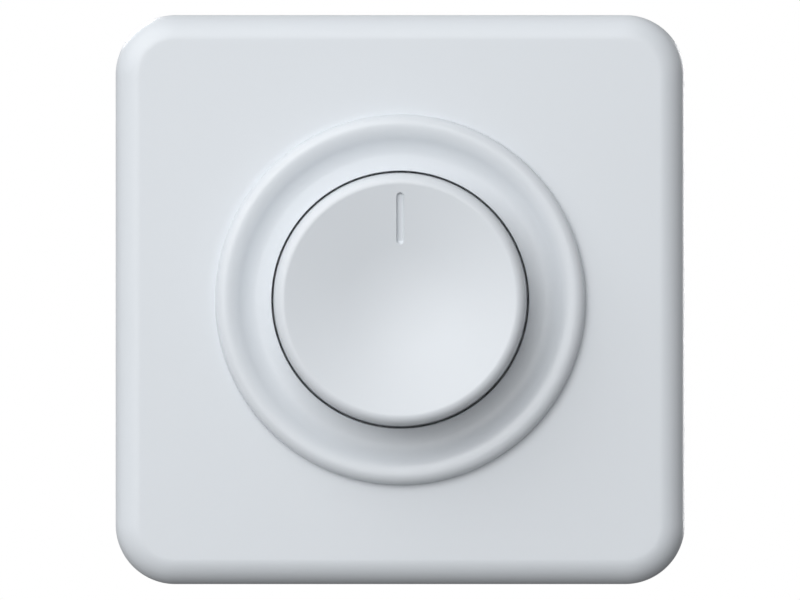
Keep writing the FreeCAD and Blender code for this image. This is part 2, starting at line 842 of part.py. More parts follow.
def knob_clip():
    """A split spring ring that squeezes the knob's hub onto the shaft."""
    body = new_body("knob_clip")
    inner = d.hub_radius + d.close_fit
    outer = inner + d.clip_wire
    back = hub_end - d.easy_fit
    front = back - d.clip_height
    ring = revolve(body, [(inner, front), (outer, front), (outer, back), (inner, back)], 330)
    ring.Midplane = True
    return body


def centre_nut():
    """The hexagon nut that clamps the centre plate on the bushing."""
    body = new_body("centre_nut")
    sketch = front_sketch(body, well_front)
    hexagon(sketch, d.nut_flats)
    circle(sketch, d.bushing_radius + d.close_fit)
    pad(body, sketch, d.nut_thickness)
    chamfer(body, d.nut_thickness / 10, in_plane("y", nut_front))
    return body


# Mounting ring, rivets and claws

def mounting_ring():
    """The pressed steel ring, with slots for the box screws and holes for the claws."""
    body = new_body("mounting_ring")
    sketch = front_sketch(body)
    rounded_rectangle(sketch, d.ring_width, d.ring_width, d.ring_corner)
    pad(body, sketch, d.ring_thickness)
    holes = front_sketch(body)
    circle(holes, d.boss_radius + d.easy_fit)
    reach = d.box_screw_spacing / 2
    for side in (-1, 1):
        oblong(holes, reach * side, as_size(0), (1, 0), (0, 1), d.box_slot_length, d.box_slot_width)
        oblong(holes, as_size(0), reach * side, (0, 1), (1, 0), d.box_slot_length, d.box_slot_width)
        middle = claw_screw_across * side
        circle(holes, d.claw_screw_radius + d.easy_fit, middle, d.claw_up * side)
        inner = (d.claw_pivot - d.claw_thickness - d.easy_fit) * side
        outer = (d.claw_pivot + d.claw_thickness / 2 + d.easy_fit) * side
        half = (d.claw_width / 2 + d.easy_fit) * side
        rectangle(holes, inner, outer, d.claw_up * side - half, d.claw_up * side + half)
    for x in (-1, 1):
        for z in (-1, 1):
            circle(holes, d.wall_screw_hole / 2, d.wall_screw_spacing / 2 * x, d.wall_screw_spacing / 2 * z)
            circle(holes, d.rivet_radius + d.close_fit, d.rivet_across * x, d.rivet_up * z)
    pocket(body, holes, d.ring_thickness)
    corners = front_sketch(body)
    for x in (-1, 1):
        for z in (-1, 1):
            circle(corners, d.post_radius + d.easy_fit, d.post_offset * x, d.post_offset * z)
    pocket(body, corners, d.ring_thickness)
    return body


def ring_rivets():
    """Four rivets that hold the housing's lid to the ring."""
    body = new_body("ring_rivets")
    places = [(d.rivet_across * x, d.rivet_up * z) for x in (-1, 1) for z in (-1, 1)]
    heads = front_sketch(body, ring_front)
    shanks = front_sketch(body, d.lid_thickness + d.rivet_head)
    tails = front_sketch(body, d.lid_thickness + d.rivet_head)
    for x, z in places:
        circle(heads, d.rivet_head_radius, x, z)
        circle(shanks, d.rivet_radius, x, z)
        circle(tails, d.rivet_head_radius, x, z)
    pad(body, shanks, d.lid_thickness + d.rivet_head + d.ring_thickness + d.rivet_head)
    pad(body, heads, d.rivet_head)
    pad(body, tails, d.rivet_head)
    chamfer(body, d.rivet_head / 2, in_plane("y", ring_front - d.rivet_head))
    return body


def claw(name, side):
    """A stamped spring-steel claw. It hangs by two hooks in a slot of the ring, its tongue lies
    on the nut of the claw screw, and its toothed leg swings out into the wall of the box."""
    body = new_body(name)
    half = d.claw_thickness / 2
    tongue = level_sketch(body)
    strip(tongue, spread, as_size(0), d.claw_tongue, d.claw_thickness)
    pad(body, tongue, d.claw_width, both_ways=True)
    leg = level_sketch(body)
    strip(leg, 90 - spread, as_size(0), d.claw_leg, d.claw_thickness)
    pad(body, leg, d.claw_width, both_ways=True)
    bend = level_sketch(body)
    circle(bend, half)
    pad(body, bend, d.claw_width, both_ways=True)
    neck = d.claw_pivot_depth + d.ring_thickness + 2 * d.easy_fit
    hook = level_sketch(body)
    outline(hook, [
        (half, 0),
        (-half, 0),
        (-half, -neck),
        (-half - d.claw_thickness / 2, -neck),
        (-half - d.claw_thickness / 2, -neck - d.claw_thickness),
        (half, -neck - d.claw_thickness),
    ])
    pad(body, hook, d.claw_width, both_ways=True)
    claw_openings(body, neck)
    claw_teeth(body)
    place(body, d.claw_pivot * side, d.claw_pivot_depth, d.claw_up * side, 0 if side > 0 else 180)
    return body


def claw_openings(body, neck):
    """The oblong hole for the screw, the window round the nut and the gap between the hooks."""
    play = 2 * d.easy_fit
    hole = front_sketch(body)
    width = 2 * (d.claw_screw_radius + d.easy_fit)
    oblong(hole, d.claw_screw_place, as_size(0), (1, 0), (0, 1), width + play, width)
    pocket(body, hole, d.claw_tongue, along=False)
    # The window begins where the leg leaves the tongue and ends past the tip of the screw
    corner = d.claw_thickness / 2 * (1 + sine(2 * spread)) / cosine(2 * spread)
    end = (d.claw_screw_end - d.claw_pivot_depth + play) / cosine(spread)
    window = level_sketch(body)
    strip(window, 90 - spread, corner, end - corner, d.claw_thickness + d.easy_fit)
    pocket(body, window, d.claw_nut_up + play, both_ways=True)
    gap = side_sketch(body)
    middle = d.claw_width / 6
    rectangle(gap, -neck - 2 * d.claw_thickness, -d.claw_thickness, -middle, middle)
    pocket(body, gap, 4 * d.claw_thickness, both_ways=True)


def claw_teeth(body):
    """Three pointed teeth across the end of the leg."""
    count = 3
    tooth = d.claw_width / count
    tip = d.claw_leg * cosine(spread) + d.claw_thickness
    notch = side_sketch(body)
    low = -d.claw_width / 2
    for index in range(count + 1):
        middle = low + tooth * index
        outline(notch, [
            (tip - d.claw_thickness - d.claw_tooth, middle),
            (tip, middle - tooth / 2),
            (tip, middle + tooth / 2),
        ])
    pocket(body, notch, d.claw_leg)


def claw_screw(name, side):
    """A pan-head screw with a cross recess. Its head rests on the ring."""
    body = new_body(name)
    rounding = d.claw_head_height / 2
    tip = d.claw_screw_end + d.ring_thickness
    revolve(body, [
        (0, tip),
        (0, -d.claw_head_height),
        (d.claw_head_radius - rounding, -d.claw_head_height),
        (d.claw_head_radius, rounding - d.claw_head_height, rounding),
        (d.claw_head_radius, 0),
        (d.claw_screw_radius, 0),
        (d.claw_screw_radius, tip - d.claw_screw_radius / 3),
        (d.claw_screw_radius * 2 / 3, tip),
    ])
    cross_recess(body, -d.claw_head_height, d.claw_head_radius, d.claw_head_height)
    place(body, claw_screw_across * side, ring_front, d.claw_up * side)
    return body


def cross_recess(body, front, head_radius, head_height):
    """Two crossed slots in a screw head, seen from the room."""
    arm = head_radius * 0.6
    half = head_radius / 8
    sketch = front_sketch(body, front)
    outline(sketch, [
        (half, -half), (arm, -half), (arm, half), (half, half), (half, arm), (-half, arm),
        (-half, half), (-arm, half), (-arm, -half), (-half, -half), (-half, -arm), (half, -arm),
    ])
    pocket(body, sketch, head_height * 0.6, along=False)


def claw_nut(name, side):
    """The square nut that the screw draws towards the ring."""
    body = new_body(name)
    sketch = front_sketch(body)
    across = d.claw_nut_across / 2
    up = d.claw_nut_up / 2
    rectangle(sketch, -across, across, -up, up)
    circle(sketch, d.claw_screw_radius + d.close_fit)
    pad(body, sketch, d.claw_nut_thickness, along=False)
    chamfer(body, d.claw_nut_thickness / 10, in_plane("y", d.claw_nut_thickness))
    tongue_back = d.claw_pivot_depth + claw_reach * sine(spread) / cosine(spread)
    front = tongue_back + d.claw_thickness / (2 * cosine(spread)) + d.close_fit * 2
    place(body, claw_screw_across * side, front, d.claw_up * side)
    return body


# Housing

def housing_lid():
    """The front half of the housing: a flange behind the ring, a boss through it, four hooks."""
    body = new_body("housing_lid")
    sketch = front_sketch(body, d.lid_thickness)
    housing_outline(sketch)
    pad(body, sketch, d.lid_thickness)
    sketch = front_sketch(body)
    circle(sketch, d.boss_radius)
    pad(body, sketch, d.boss_height)
    fillet(body, d.boss_wall / 4, in_plane("y", boss_front))
    sketch = front_sketch(body, d.lid_thickness)
    circle(sketch, d.boss_bore)
    pocket(body, sketch, d.lid_thickness - boss_inside)
    holes = front_sketch(body, d.lid_thickness)
    circle(holes, d.bushing_radius + d.easy_fit / 2)
    for x in (-1, 1):
        for z in (-1, 1):
            circle(holes, d.rivet_radius + d.close_fit, d.rivet_across * x, d.rivet_up * z)
    pocket(body, holes, d.lid_thickness + d.boss_height)
    outside = d.housing_width / 2 - d.housing_wall - d.close_fit * 2
    end = d.lid_thickness + d.hook_length
    for up in (-d.hook_up, d.hook_up):
        hooks = level_sketch(body, up)
        for side in (-1, 1):
            outline(hooks, [
                (outside * side, d.lid_thickness),
                (outside * side, end - 2 * d.hook_nib),
                ((outside + d.hook_nib) * side, end - 2 * d.hook_nib),
                ((outside + d.hook_nib) * side, end - d.hook_nib),
                (outside * side, end),
                ((outside - d.hook_thickness) * side, end),
                ((outside - d.hook_thickness) * side, d.lid_thickness),
            ])
        pad(body, hooks, d.hook_width, both_ways=True)
    return body


def housing_base():
    """The rear cup of the housing, with chambers for the terminals and openings for the wires."""
    body = new_body("housing_base")
    depth = d.housing_depth - d.lid_thickness
    sketch = front_sketch(body, d.housing_depth)
    housing_outline(sketch)
    pad(body, sketch, depth)
    chamfer(body, d.housing_wall / 2, in_plane("y", d.housing_depth))
    sketch = front_sketch(body, d.lid_thickness)
    housing_outline(sketch, d.housing_wall)
    pocket(body, sketch, depth - d.housing_back, along=False)
    housing_base_inside(body)
    housing_base_openings(body)
    return body


def housing_base_inside(body):
    """Pillars under the circuit board and walls between the terminals."""
    pillars = front_sketch(body, housing_floor)
    for x, z in pillar_places():
        circle(pillars, d.pillar_radius, x, z)
    pad(body, pillars, housing_floor - board_back)
    walls = front_sketch(body, housing_floor)
    half = (2 * d.terminal_pitch - d.terminal_width * 2) / 6
    for side in (-1, 1):
        middle = d.terminal_pitch / 2 * side
        low = -(d.housing_height - d.housing_wall) / 2
        rectangle(walls, middle - half, middle + half, low, -d.terminal_top)
    pad(body, walls, housing_floor - d.terminal_front)


def pillar_places():
    """Where the pillars stand: two by the lower corners of the board, two by the upper."""
    inner = d.housing_width / 2 - d.housing_wall - d.pillar_radius
    low = d.easy_fit * 2 + d.pillar_radius - d.board_bottom
    return [(-inner, low), (inner, low), (d.easy_fit - inner, d.hook_up), (inner - d.easy_fit, d.hook_up)]


def housing_base_openings(body):
    """Wire entries and vents in the back, holes over the terminal screws, and hook windows."""
    back = front_sketch(body, d.housing_depth)
    wire_up = -(d.terminal_top + d.terminal_bottom) / 2
    for x in terminal_places:
        oblong(back, x, wire_up, (0, 1), (1, 0), d.wire_hole_height, d.wire_hole_width)
    for index in range(-2, 3):
        x = d.vent_pitch * index
        oblong(back, x, d.vent_up, (0, 1), (1, 0), d.vent_length, d.vent_width)
    pocket(body, back, d.housing_back)
    screws = level_sketch(body, -d.housing_height / 2)
    for x in terminal_places:
        circle(screws, d.terminal_head_radius + d.easy_fit, x, terminal_middle)
    pocket(body, screws, d.housing_wall)
    windows = side_sketch(body)
    end = d.lid_thickness + d.hook_length
    half = d.hook_width / 2 + d.easy_fit
    for side in (-1, 1):
        middle = d.hook_up * side
        rectangle(windows, end - 2 * d.hook_nib - d.close_fit, end + d.easy_fit, middle - half, middle + half)
    pocket(body, windows, d.housing_width, both_ways=True)


# Turning control: bushing, shaft and the parts that they carry

def bushing_plate():
    """The threaded bushing with the square plate that it is pressed into."""
    body = new_body("bushing_plate")
    half = d.bushing_plate / 2
    sketch = front_sketch(body, pot_front)
    rounded_rectangle(sketch, d.bushing_plate, d.bushing_plate, half / 6)
    pad(body, sketch, d.bushing_plate_thickness)
    sketch = front_sketch(body, boss_inside)
    circle(sketch, d.bushing_radius)
    pad(body, sketch, boss_inside - bushing_front)
    chamfer(body, d.bushing_radius / 10, in_plane("y", bushing_front))
    bore = front_sketch(body, pot_front)
    circle(bore, d.shaft_radius + d.close_fit)
    pocket(body, bore, pot_front - bushing_front)
    return body


def pot_housing():
    """The moulded cup round the turning part, with the stop that limits the turn."""
    body = new_body("pot_housing")
    inner = d.pot_radius - d.pot_wall
    revolve(body, [
        (d.shaft_radius + d.easy_fit, pot_floor),
        (inner, pot_floor),
        (inner, pot_front),
        (d.pot_radius, pot_front),
        (d.pot_radius, d.board_front),
        (d.shaft_radius + d.easy_fit, d.board_front),
    ])
    stop = front_sketch(body, rotor_back)
    sector(stop, d.rotor_radius + d.easy_fit, inner + d.pot_wall / 2, as_size(270), d.stop_half_angle)
    pad(body, stop, rotor_back - pot_front)
    return body


def wiper_rotor():
    """The disc that the shaft turns but slides through, with the lug that meets the stop."""
    body = new_body("wiper_rotor")
    sketch = front_sketch(body, rotor_back)
    circle(sketch, d.rotor_radius)
    pad(body, sketch, d.rotor_thickness)
    lug = front_sketch(body, rotor_back)
    inner = d.pot_radius - d.pot_wall
    sector(lug, d.rotor_radius - d.easy_fit, inner - d.easy_fit, as_size(90), d.stop_half_angle)
    pad(body, lug, d.rotor_thickness)
    hole = front_sketch(body, rotor_back)
    d_hole(hole, d.close_fit)
    pocket(body, hole, d.rotor_thickness)
    return body


def wiper_contact():
    """The brass spring on the rotor that wipes the track: a ring with three fingers."""
    body = new_body("wiper_contact")
    inner = d.shaft_radius + 2 * d.easy_fit
    outer = inner + d.wiper_ring
    back = rotor_back + d.wiper_sheet
    tip_outside = d.rotor_radius - d.easy_fit
    sketch = front_sketch(body, back)
    circle(sketch, outer)
    circle(sketch, inner)
    pad(body, sketch, d.wiper_sheet)
    finger = front_sketch(body, back)
    sector(finger, (inner + outer) / 2, tip_outside, as_size(90), d.wiper_half_angle)
    first = pad(body, finger, d.wiper_sheet)
    polar(body, first, 3)
    tips = front_sketch(body, track_front - d.close_fit)
    sector(tips, tip_outside - d.wiper_ring / 2, tip_outside, as_size(90), d.wiper_half_angle)
    tip = pad(body, tips, track_front - d.close_fit - rotor_back)
    polar(body, tip, 3)
    return body


def pot_track():
    """The resistance track on its round carrier, fixed to the floor of the cup."""
    body = new_body("pot_track")
    sketch = front_sketch(body, pot_floor)
    circle(sketch, d.pot_radius - d.pot_wall - d.close_fit)
    circle(sketch, d.shaft_radius + 2 * d.easy_fit)
    pad(body, sketch, d.track_thickness)
    return body


def pot_pins():
    """Three flat pins that join the track to the circuit board."""
    body = new_body("pot_pins")
    end = board_back + d.pin_width
    across = d.pin_width / 2
    up = d.pin_thickness / 2
    sketch = front_sketch(body, end)
    for index in (-1, 0, 1):
        middle = d.pin_pitch * index
        rectangle(sketch, middle - across, middle + across, -d.pin_down - up, up - d.pin_down)
    pad(body, sketch, end - d.board_front)
    return body


def shaft():
    """The steel shaft, with a flat at each end, that carries the knob and presses the switch."""
    body = new_body("shaft")
    sketch = front_sketch(body, shaft_back)
    circle(sketch, d.shaft_radius)
    pad(body, sketch, shaft_back - shaft_front)
    above = 2 * d.shaft_radius
    front_end = bushing_front - d.knob_travel
    flats = side_sketch(body)
    rectangle(flats, shaft_front - 1, front_end, d.shaft_flat, above)
    rectangle(flats, d.rotor_front - d.knob_travel - d.easy_fit, shaft_back + 1, d.shaft_flat, above)
    pocket(body, flats, above, both_ways=True)
    chamfer(body, d.shaft_radius / 8, in_plane("y", shaft_front))
    return body


def shaft_ring():
    """The snap ring in the shaft that keeps it from being pulled out of the bushing."""
    body = new_body("shaft_ring")
    inner = d.shaft_radius + d.close_fit / 2
    outer = d.shaft_radius * 1.4
    front = pot_front + d.close_fit
    back = front + d.shaft_ring_thickness
    ring = revolve(body, [(inner, front), (outer, front), (outer, back), (inner, back)], 300)
    ring.Midplane = True
    return body


# Circuit board and the push switch

def circuit_board():
    """The circuit board, with a hole for the shaft and slots for the switch's blades."""
    body = new_body("circuit_board")
    inset = d.housing_wall + d.close_fit * 2
    across = d.housing_width / 2 - inset
    rounding = d.housing_round - inset
    top = d.housing_height / 2 - inset
    corner_up = root(rounding * rounding - across * across)
    corner_across = root(rounding * rounding - top * top)
    sketch = front_sketch(body, board_back)
    outline(sketch, [
        (across, -d.board_bottom),
        (across, corner_up),
        (corner_across, top),
        (-corner_across, top),
        (-across, corner_up),
        (-across, -d.board_bottom),
    ])
    circle(sketch, d.shaft_radius + 1)
    play = 2 * d.close_fit
    half = d.blade_width / 2 + play
    for side in (-1, 1):
        rectangle(sketch, (blade_out + play) * side, (blade_in - play) * side, -half, half)
    across = d.pin_width / 2 + play
    up = d.pin_thickness / 2 + play
    for index in (-1, 0, 1):
        middle = d.pin_pitch * index
        rectangle(sketch, middle - across, middle + across, -d.pin_down - up, up - d.pin_down)
    for x, z in lead_places():
        circle(sketch, d.lead_hole, x, z)
    pad(body, sketch, d.board_thickness)
    return body


def lead_places():
    """Where the leads of the front parts pass through the board."""
    leg = triac_left + triac_length + d.triac_leg
    places = [(leg, triac_up + d.triac_pitch * index) for index in (-1, 0, 1)]
    for z in resistor_places:
        places += [(resistor_across - resistor_reach, z), (resistor_across + resistor_reach, z)]
    for side in (-1, 1):
        places.append((-d.varistor_left, d.varistor_up + d.varistor_pitch / 2 * side))
    return places


def switch_housing():
    """The box of the push switch, open where the plunger stands."""
    body = new_body("switch_housing")
    half = d.switch_width / 2
    inner = half - d.switch_wall
    sketch = front_sketch(body, switch_back)
    rectangle(sketch, -half, half, -half, half)
    pad(body, sketch, d.switch_depth)
    room = front_sketch(body, switch_back - d.switch_wall)
    rectangle(room, -inner, inner, -inner, inner)
    pocket(body, room, d.switch_depth - 2 * d.switch_wall)
    hole = front_sketch(body, board_back)
    circle(hole, d.shaft_radius + d.easy_fit)
    up = d.blade_width / 2 + 2 * d.close_fit
    for side in (-1, 1):
        rectangle(hole, (blade_out + d.close_fit) * side, (blade_in - d.close_fit) * side, -up, up)
    pocket(body, hole, d.switch_wall, along=False)
    return body


def switch_plunger():
    """The plunger that the shaft pushes: a stem, a square head and a tail for the spring."""
    body = new_body("switch_plunger")
    stem = front_sketch(body, plunger_head)
    circle(stem, d.plunger_radius)
    pad(body, stem, plunger_head - plunger_front)
    head = front_sketch(body, bridge_front)
    half = d.plunger_head / 2
    rectangle(head, -half, half, -half, half)
    pad(body, head, bridge_front - plunger_head)
    tail_end = bridge_back + d.plunger_tail
    tail = front_sketch(body, tail_end)
    circle(tail, d.spring_radius - d.spring_wire / 2 - d.easy_fit)
    pad(body, tail, tail_end - bridge_front)
    return body


def contact_bridge():
    """The brass bridge on the plunger that joins the two fixed contacts."""
    body = new_body("contact_bridge")
    sketch = front_sketch(body, bridge_back)
    oblong(sketch, as_size(0), as_size(0), (1, 0), (0, 1), d.bridge_length, d.bridge_width)
    circle(sketch, d.spring_radius - d.spring_wire / 2 - d.easy_fit + d.close_fit)
    pad(body, sketch, bridge_back - bridge_front)
    return body


def fixed_contacts():
    """Two brass blades that run from the circuit board to the contacts of the switch."""
    body = new_body("fixed_contacts")
    profile = level_sketch(body)
    front = d.board_front
    contact_back = contact_front + d.blade_thickness
    inner = d.bridge_length / 2 - d.contact_length
    for side in (-1, 1):
        outline(profile, [
            (blade_in * side, front),
            (blade_in * side, contact_front),
            (inner * side, contact_front),
            (inner * side, contact_back),
            (blade_out * side, contact_back),
            (blade_out * side, front),
        ])
    pad(body, profile, d.blade_width, both_ways=True)
    return body


def switch_return_spring():
    """The coil spring that brings the plunger, the shaft and the knob back."""
    body = new_body("switch_return_spring")
    wire = d.spring_wire / 2
    first = bridge_back + wire
    last = switch_back - d.switch_wall - wire
    sketch = level_sketch(body)
    circle(sketch, wire, d.spring_radius, first)
    coil = body.newObject("PartDesign::AdditiveHelix", "coil")
    coil.Profile = sketch
    coil.ReferenceAxis = (sketch, ["V_Axis"])
    coil.Mode = "height-turns-angle"
    bind(coil, "Height", last - first)
    bind(coil, "Turns", d.spring_turns)
    return body


# Power parts

def heat_spreader():
    """The aluminium plate behind the lid that carries the power switch."""
    body = new_body("heat_spreader")
    sketch = front_sketch(body, spreader_back)
    rectangle(sketch, -d.spreader_left, d.spreader_right, d.spreader_bottom, d.spreader_top)
    circle(sketch, d.claw_screw_radius, triac_hole, triac_up)
    pad(body, sketch, d.spreader_thickness)
    return body


def insulating_pad():
    """The thin pad between the power switch and the heat spreader."""
    body = new_body("insulating_pad")
    sketch = front_sketch(body, pad_back)
    half = d.triac_width / 2
    rectangle(sketch, triac_left, triac_left + triac_length, triac_up - half, triac_up + half)
    circle(sketch, d.claw_screw_radius + d.easy_fit, triac_hole, triac_up)
    pad(body, sketch, d.pad_thickness)
    return body


def triac():
    """The power switch: a tab with a hole, a moulded body and three legs to the board."""
    body = new_body("triac")
    half = d.triac_width / 2
    tab = front_sketch(body, tab_back)
    rectangle(tab, triac_left, triac_left + triac_length, triac_up - half, triac_up + half)
    circle(tab, d.claw_screw_radius + d.easy_fit, triac_hole, triac_up)
    pad(body, tab, d.triac_tab)
    block = front_sketch(body, pad_back + d.triac_body)
    right = triac_left + triac_length
    rectangle(block, right - d.triac_body_length, right, triac_up - half, triac_up + half)
    pad(body, block, d.triac_body)
    low = tab_back + d.triac_leg_width
    high = low + d.triac_leg_thickness
    outside = right + d.triac_leg + d.triac_leg_thickness / 2
    inside = outside - d.triac_leg_thickness
    end = board_back + d.triac_leg_width
    for index in (-1, 0, 1):
        leg = level_sketch(body, triac_up + d.triac_pitch * index)
        outline(leg, [
            (right - d.easy_fit, low),
            (outside, low),
            (outside, end),
            (inside, end),
            (inside, high),
            (right - d.easy_fit, high),
        ])
        pad(body, leg, d.triac_leg_width, both_ways=True)
    return body


def triac_screw():
    """The short screw that presses the power switch to the heat spreader."""
    body = new_body("triac_screw")
    shank = d.claw_screw_radius - d.close_fit
    head = d.claw_screw_radius * 1.8
    head_back = tab_back + d.claw_screw_radius
    front = d.lid_thickness + 2 * d.close_fit
    revolve(body, [
        (0, head_back),
        (0, front),
        (shank, front),
        (shank, tab_back),
        (head, tab_back),
        (head, head_back),
    ])
    place(body, triac_hole, 0, triac_up)
    return body


def choke_core():
    """The ring core of the suppression choke."""
    body = new_body("choke_core")
    revolve(body, ring_section(d.choke_inner, d.choke_outer, d.choke_height / 2))
    place(body, -d.choke_across, choke_middle, d.choke_up)
    return body


def ring_section(inner, outer, half, middle=0):
    return [(inner, middle - half), (outer, middle - half), (outer, middle + half), (inner, middle + half)]


def choke_winding():
    """The wire round the core, open where its two ends leave."""
    body = new_body("choke_winding")
    layer = d.winding_layer
    sketch = level_sketch(body)
    half = d.choke_height / 2
    outline(sketch, ring_section(d.choke_inner - layer, d.choke_outer + layer, half + layer))
    gap = d.close_fit
    outline(sketch, ring_section(d.choke_inner - gap, d.choke_outer + gap, half + gap))
    ring = body.newObject("PartDesign::Revolution", "turned")
    ring.Profile = sketch
    ring.ReferenceAxis = (sketch, ["V_Axis"])
    ring.Angle = 310
    fillet(body, layer / 2, lambda edge: abs(abs(edge.BoundBox.YMin) - (half + layer).number) < 0.01
           and edge.BoundBox.YLength < 0.01 and edge.BoundBox.XLength > 3)
    place(body, -d.choke_across, choke_middle, d.choke_up)
    return body


def film_capacitor():
    """The box-shaped suppression capacitor behind the board."""
    body = new_body("film_capacitor")
    back = board_back + d.film_depth
    up = d.film_height / 2
    sketch = front_sketch(body, back)
    rectangle(sketch, -d.film_left, d.film_width - d.film_left, -up, up)
    pad(body, sketch, d.film_depth)
    fillet(body, d.film_width / 16, in_plane("y", back))
    return body


def electrolytic_capacitor():
    """The smoothing capacitor: a can on a rubber bung."""
    body = new_body("electrolytic_capacitor")
    radius = d.can_radius
    back = board_back + d.can_height
    groove = radius / 10
    revolve(body, [
        (0, board_back),
        (radius - groove, board_back),
        (radius, board_back + groove, groove),
        (radius, board_back + 3.5 * groove),
        (radius - groove, board_back + 4.5 * groove),
        (radius, board_back + 5.5 * groove),
        (radius, back - groove),
        (radius - groove, back, groove),
        (0, back),
    ])
    place(body, d.can_right, 0, d.can_up)
    return body


def varistor():
    """The round surge absorber that stands on the board."""
    body = new_body("varistor")
    sketch = side_sketch(body, -d.varistor_left)
    circle(sketch, d.varistor_radius, board_back + d.varistor_radius + d.easy_fit, d.varistor_up)
    pad(body, sketch, d.varistor_thickness, both_ways=True)
    chamfer(body, d.varistor_thickness / 4,
            lambda edge: edge.BoundBox.XLength < 0.01 and edge.BoundBox.ZLength > 5)
    reach = d.varistor_radius / 2
    legs = front_sketch(body, board_back + reach)
    for side in (-1, 1):
        circle(legs, d.varistor_leg, -d.varistor_left, d.varistor_up + d.varistor_pitch / 2 * side)
    pad(body, legs, d.board_thickness + reach)
    return body


def resistors():
    """Three resistors with bent leads, on the front of the board."""
    body = new_body("resistors")
    middle = d.board_front - d.resistor_radius - d.close_fit
    half = d.resistor_lead / 2
    for z in resistor_places:
        sketch = side_sketch(body, resistor_across)
        circle(sketch, d.resistor_radius, middle, z)
        pad(body, sketch, d.resistor_length, both_ways=True)
        lead = level_sketch(body, z)
        for side in (-1, 1):
            inner = resistor_across + (d.resistor_length / 2 - half) * side
            outer = resistor_across + (resistor_reach + half) * side
            turn = resistor_across + (resistor_reach - half) * side
            outline(lead, [
                (inner, middle - half),
                (outer, middle - half),
                (outer, board_back),
                (turn, board_back),
                (turn, middle + half),
                (inner, middle + half),
            ])
        pad(body, lead, d.resistor_lead, both_ways=True)
    return body


def controller_chip():
    """The control chip with eight legs, on the front of the board."""
    body = new_body("controller_chip")
    across = d.chip_width / 2
    up = d.chip_length / 2
    sketch = front_sketch(body, d.board_front - d.chip_lift)
    rectangle(sketch, d.chip_right - across, d.chip_right + across, -up, up)
    pad(body, sketch, d.chip_height)
    chamfer(body, d.chip_height / 9, in_plane("y", d.board_front - d.chip_lift - d.chip_height))
    half = d.chip_leg / 2
    shoulder = d.chip_lift + d.chip_height / 2
    legs = front_sketch(body, d.board_front)
    shoulders = front_sketch(body, d.board_front - shoulder)
    left = d.chip_right - d.chip_leg_reach
    right = d.chip_right + d.chip_leg_reach
    for place_number in (-1.5, -0.5, 0.5, 1.5):
        z = d.chip_pitch * place_number
        rectangle(legs, left, left + d.chip_leg, z - half, z + half)
        rectangle(legs, right - d.chip_leg, right, z - half, z + half)
        rectangle(shoulders, left, right, z - half, z + half)
    pad(body, legs, shoulder + d.chip_leg)
    pad(body, shoulders, d.chip_leg)
    return body


def fuse():
    """The glass fuse, sealed as one piece."""
    body = new_body("fuse")
    sketch = level_sketch(body)
    circle(sketch, d.fuse_radius, d.fuse_right, fuse_depth)
    pad(body, sketch, d.fuse_length, both_ways=True)
    for side in (-1, 1):
        cap = level_sketch(body, fuse_cap_up * side)
        circle(cap, d.fuse_cap_radius, d.fuse_right, fuse_depth)
        pad(body, cap, d.fuse_cap_length, both_ways=True)
    return body


def fuse_clips():
    """Two spring clips that hold the fuse on the board."""
    body = new_body("fuse_clips")
    inner = d.fuse_cap_radius + d.close_fit / 2
    outer = inner + d.clip_sheet
    middle = d.fuse_right
    low = board_back + d.clip_sheet
    end = fuse_depth + d.clip_reach
    for side in (-1, 1):
        clip = level_sketch(body, fuse_cap_up * side)
        outline(clip, [
            (middle - outer, board_back),
            (middle + outer, board_back),
            (middle + outer, end),
            (middle + inner, end),
            (middle + inner, low),
            (middle - inner, low),
            (middle - inner, end),
            (middle - outer, end),
        ])
        pad(body, clip, d.clip_width, both_ways=True)
    return body


# Terminals

def terminal_cages():
    """Three brass cages that the wires go into."""
    body = new_body("terminal_cages")
    half = d.terminal_width / 2
    wall = d.cage_wall
    sketch = front_sketch(body, cage_back)
    for x in terminal_places:
        rectangle(sketch, x - half, x + half, -d.terminal_bottom, -d.terminal_top)
        rectangle(sketch, x - half + wall, x + half - wall, wall - d.terminal_bottom, -d.terminal_top - wall)
    pad(body, sketch, cage_back - d.terminal_front)
    holes = level_sketch(body, -d.terminal_bottom)
    for x in terminal_places:
        circle(holes, d.terminal_screw_radius + d.close_fit, x, terminal_middle)
    pocket(body, holes, wall * 1.1, along=True)
    return body


def terminal_screws():
    """Three slotted screws that press the wires in their cages."""
    body = new_body("terminal_screws")
    shanks = level_sketch(body, -d.terminal_bottom)
    heads = level_sketch(body, -d.terminal_bottom)
    for x in terminal_places:
        circle(shanks, d.terminal_screw_radius, x, terminal_middle)
        circle(heads, d.terminal_head_radius, x, terminal_middle)
    pad(body, shanks, d.terminal_screw_length)
    pad(body, heads, d.terminal_head_height, along=False)
    slots = level_sketch(body, -d.terminal_bottom - d.terminal_head_height)
    length = d.terminal_head_radius + d.easy_fit
    half = d.terminal_slot / 2
    for x in terminal_places:
        rectangle(slots, x - length, x + length, terminal_middle - half, terminal_middle + half)
    pocket(body, slots, d.terminal_head_height / 2)
    return body


def terminal_bars():
    """Three bent strips that join the cages to the circuit board."""
    body = new_body("terminal_bars")
    top = -d.terminal_top - d.cage_wall - d.close_fit / 2
    low = top - d.bar_thickness
    foot = 2 * d.bar_thickness - d.board_bottom
    end = cage_back - d.cage_wall
    for x in terminal_places:
        bar = side_sketch(body, x)
        outline(bar, [
            (board_back, foot),
            (board_back, low),
            (end, low),
            (end, top),
            (board_back + d.bar_thickness, top),
            (board_back + d.bar_thickness, foot),
        ])
        pad(body, bar, d.bar_width, both_ways=True)
    return body


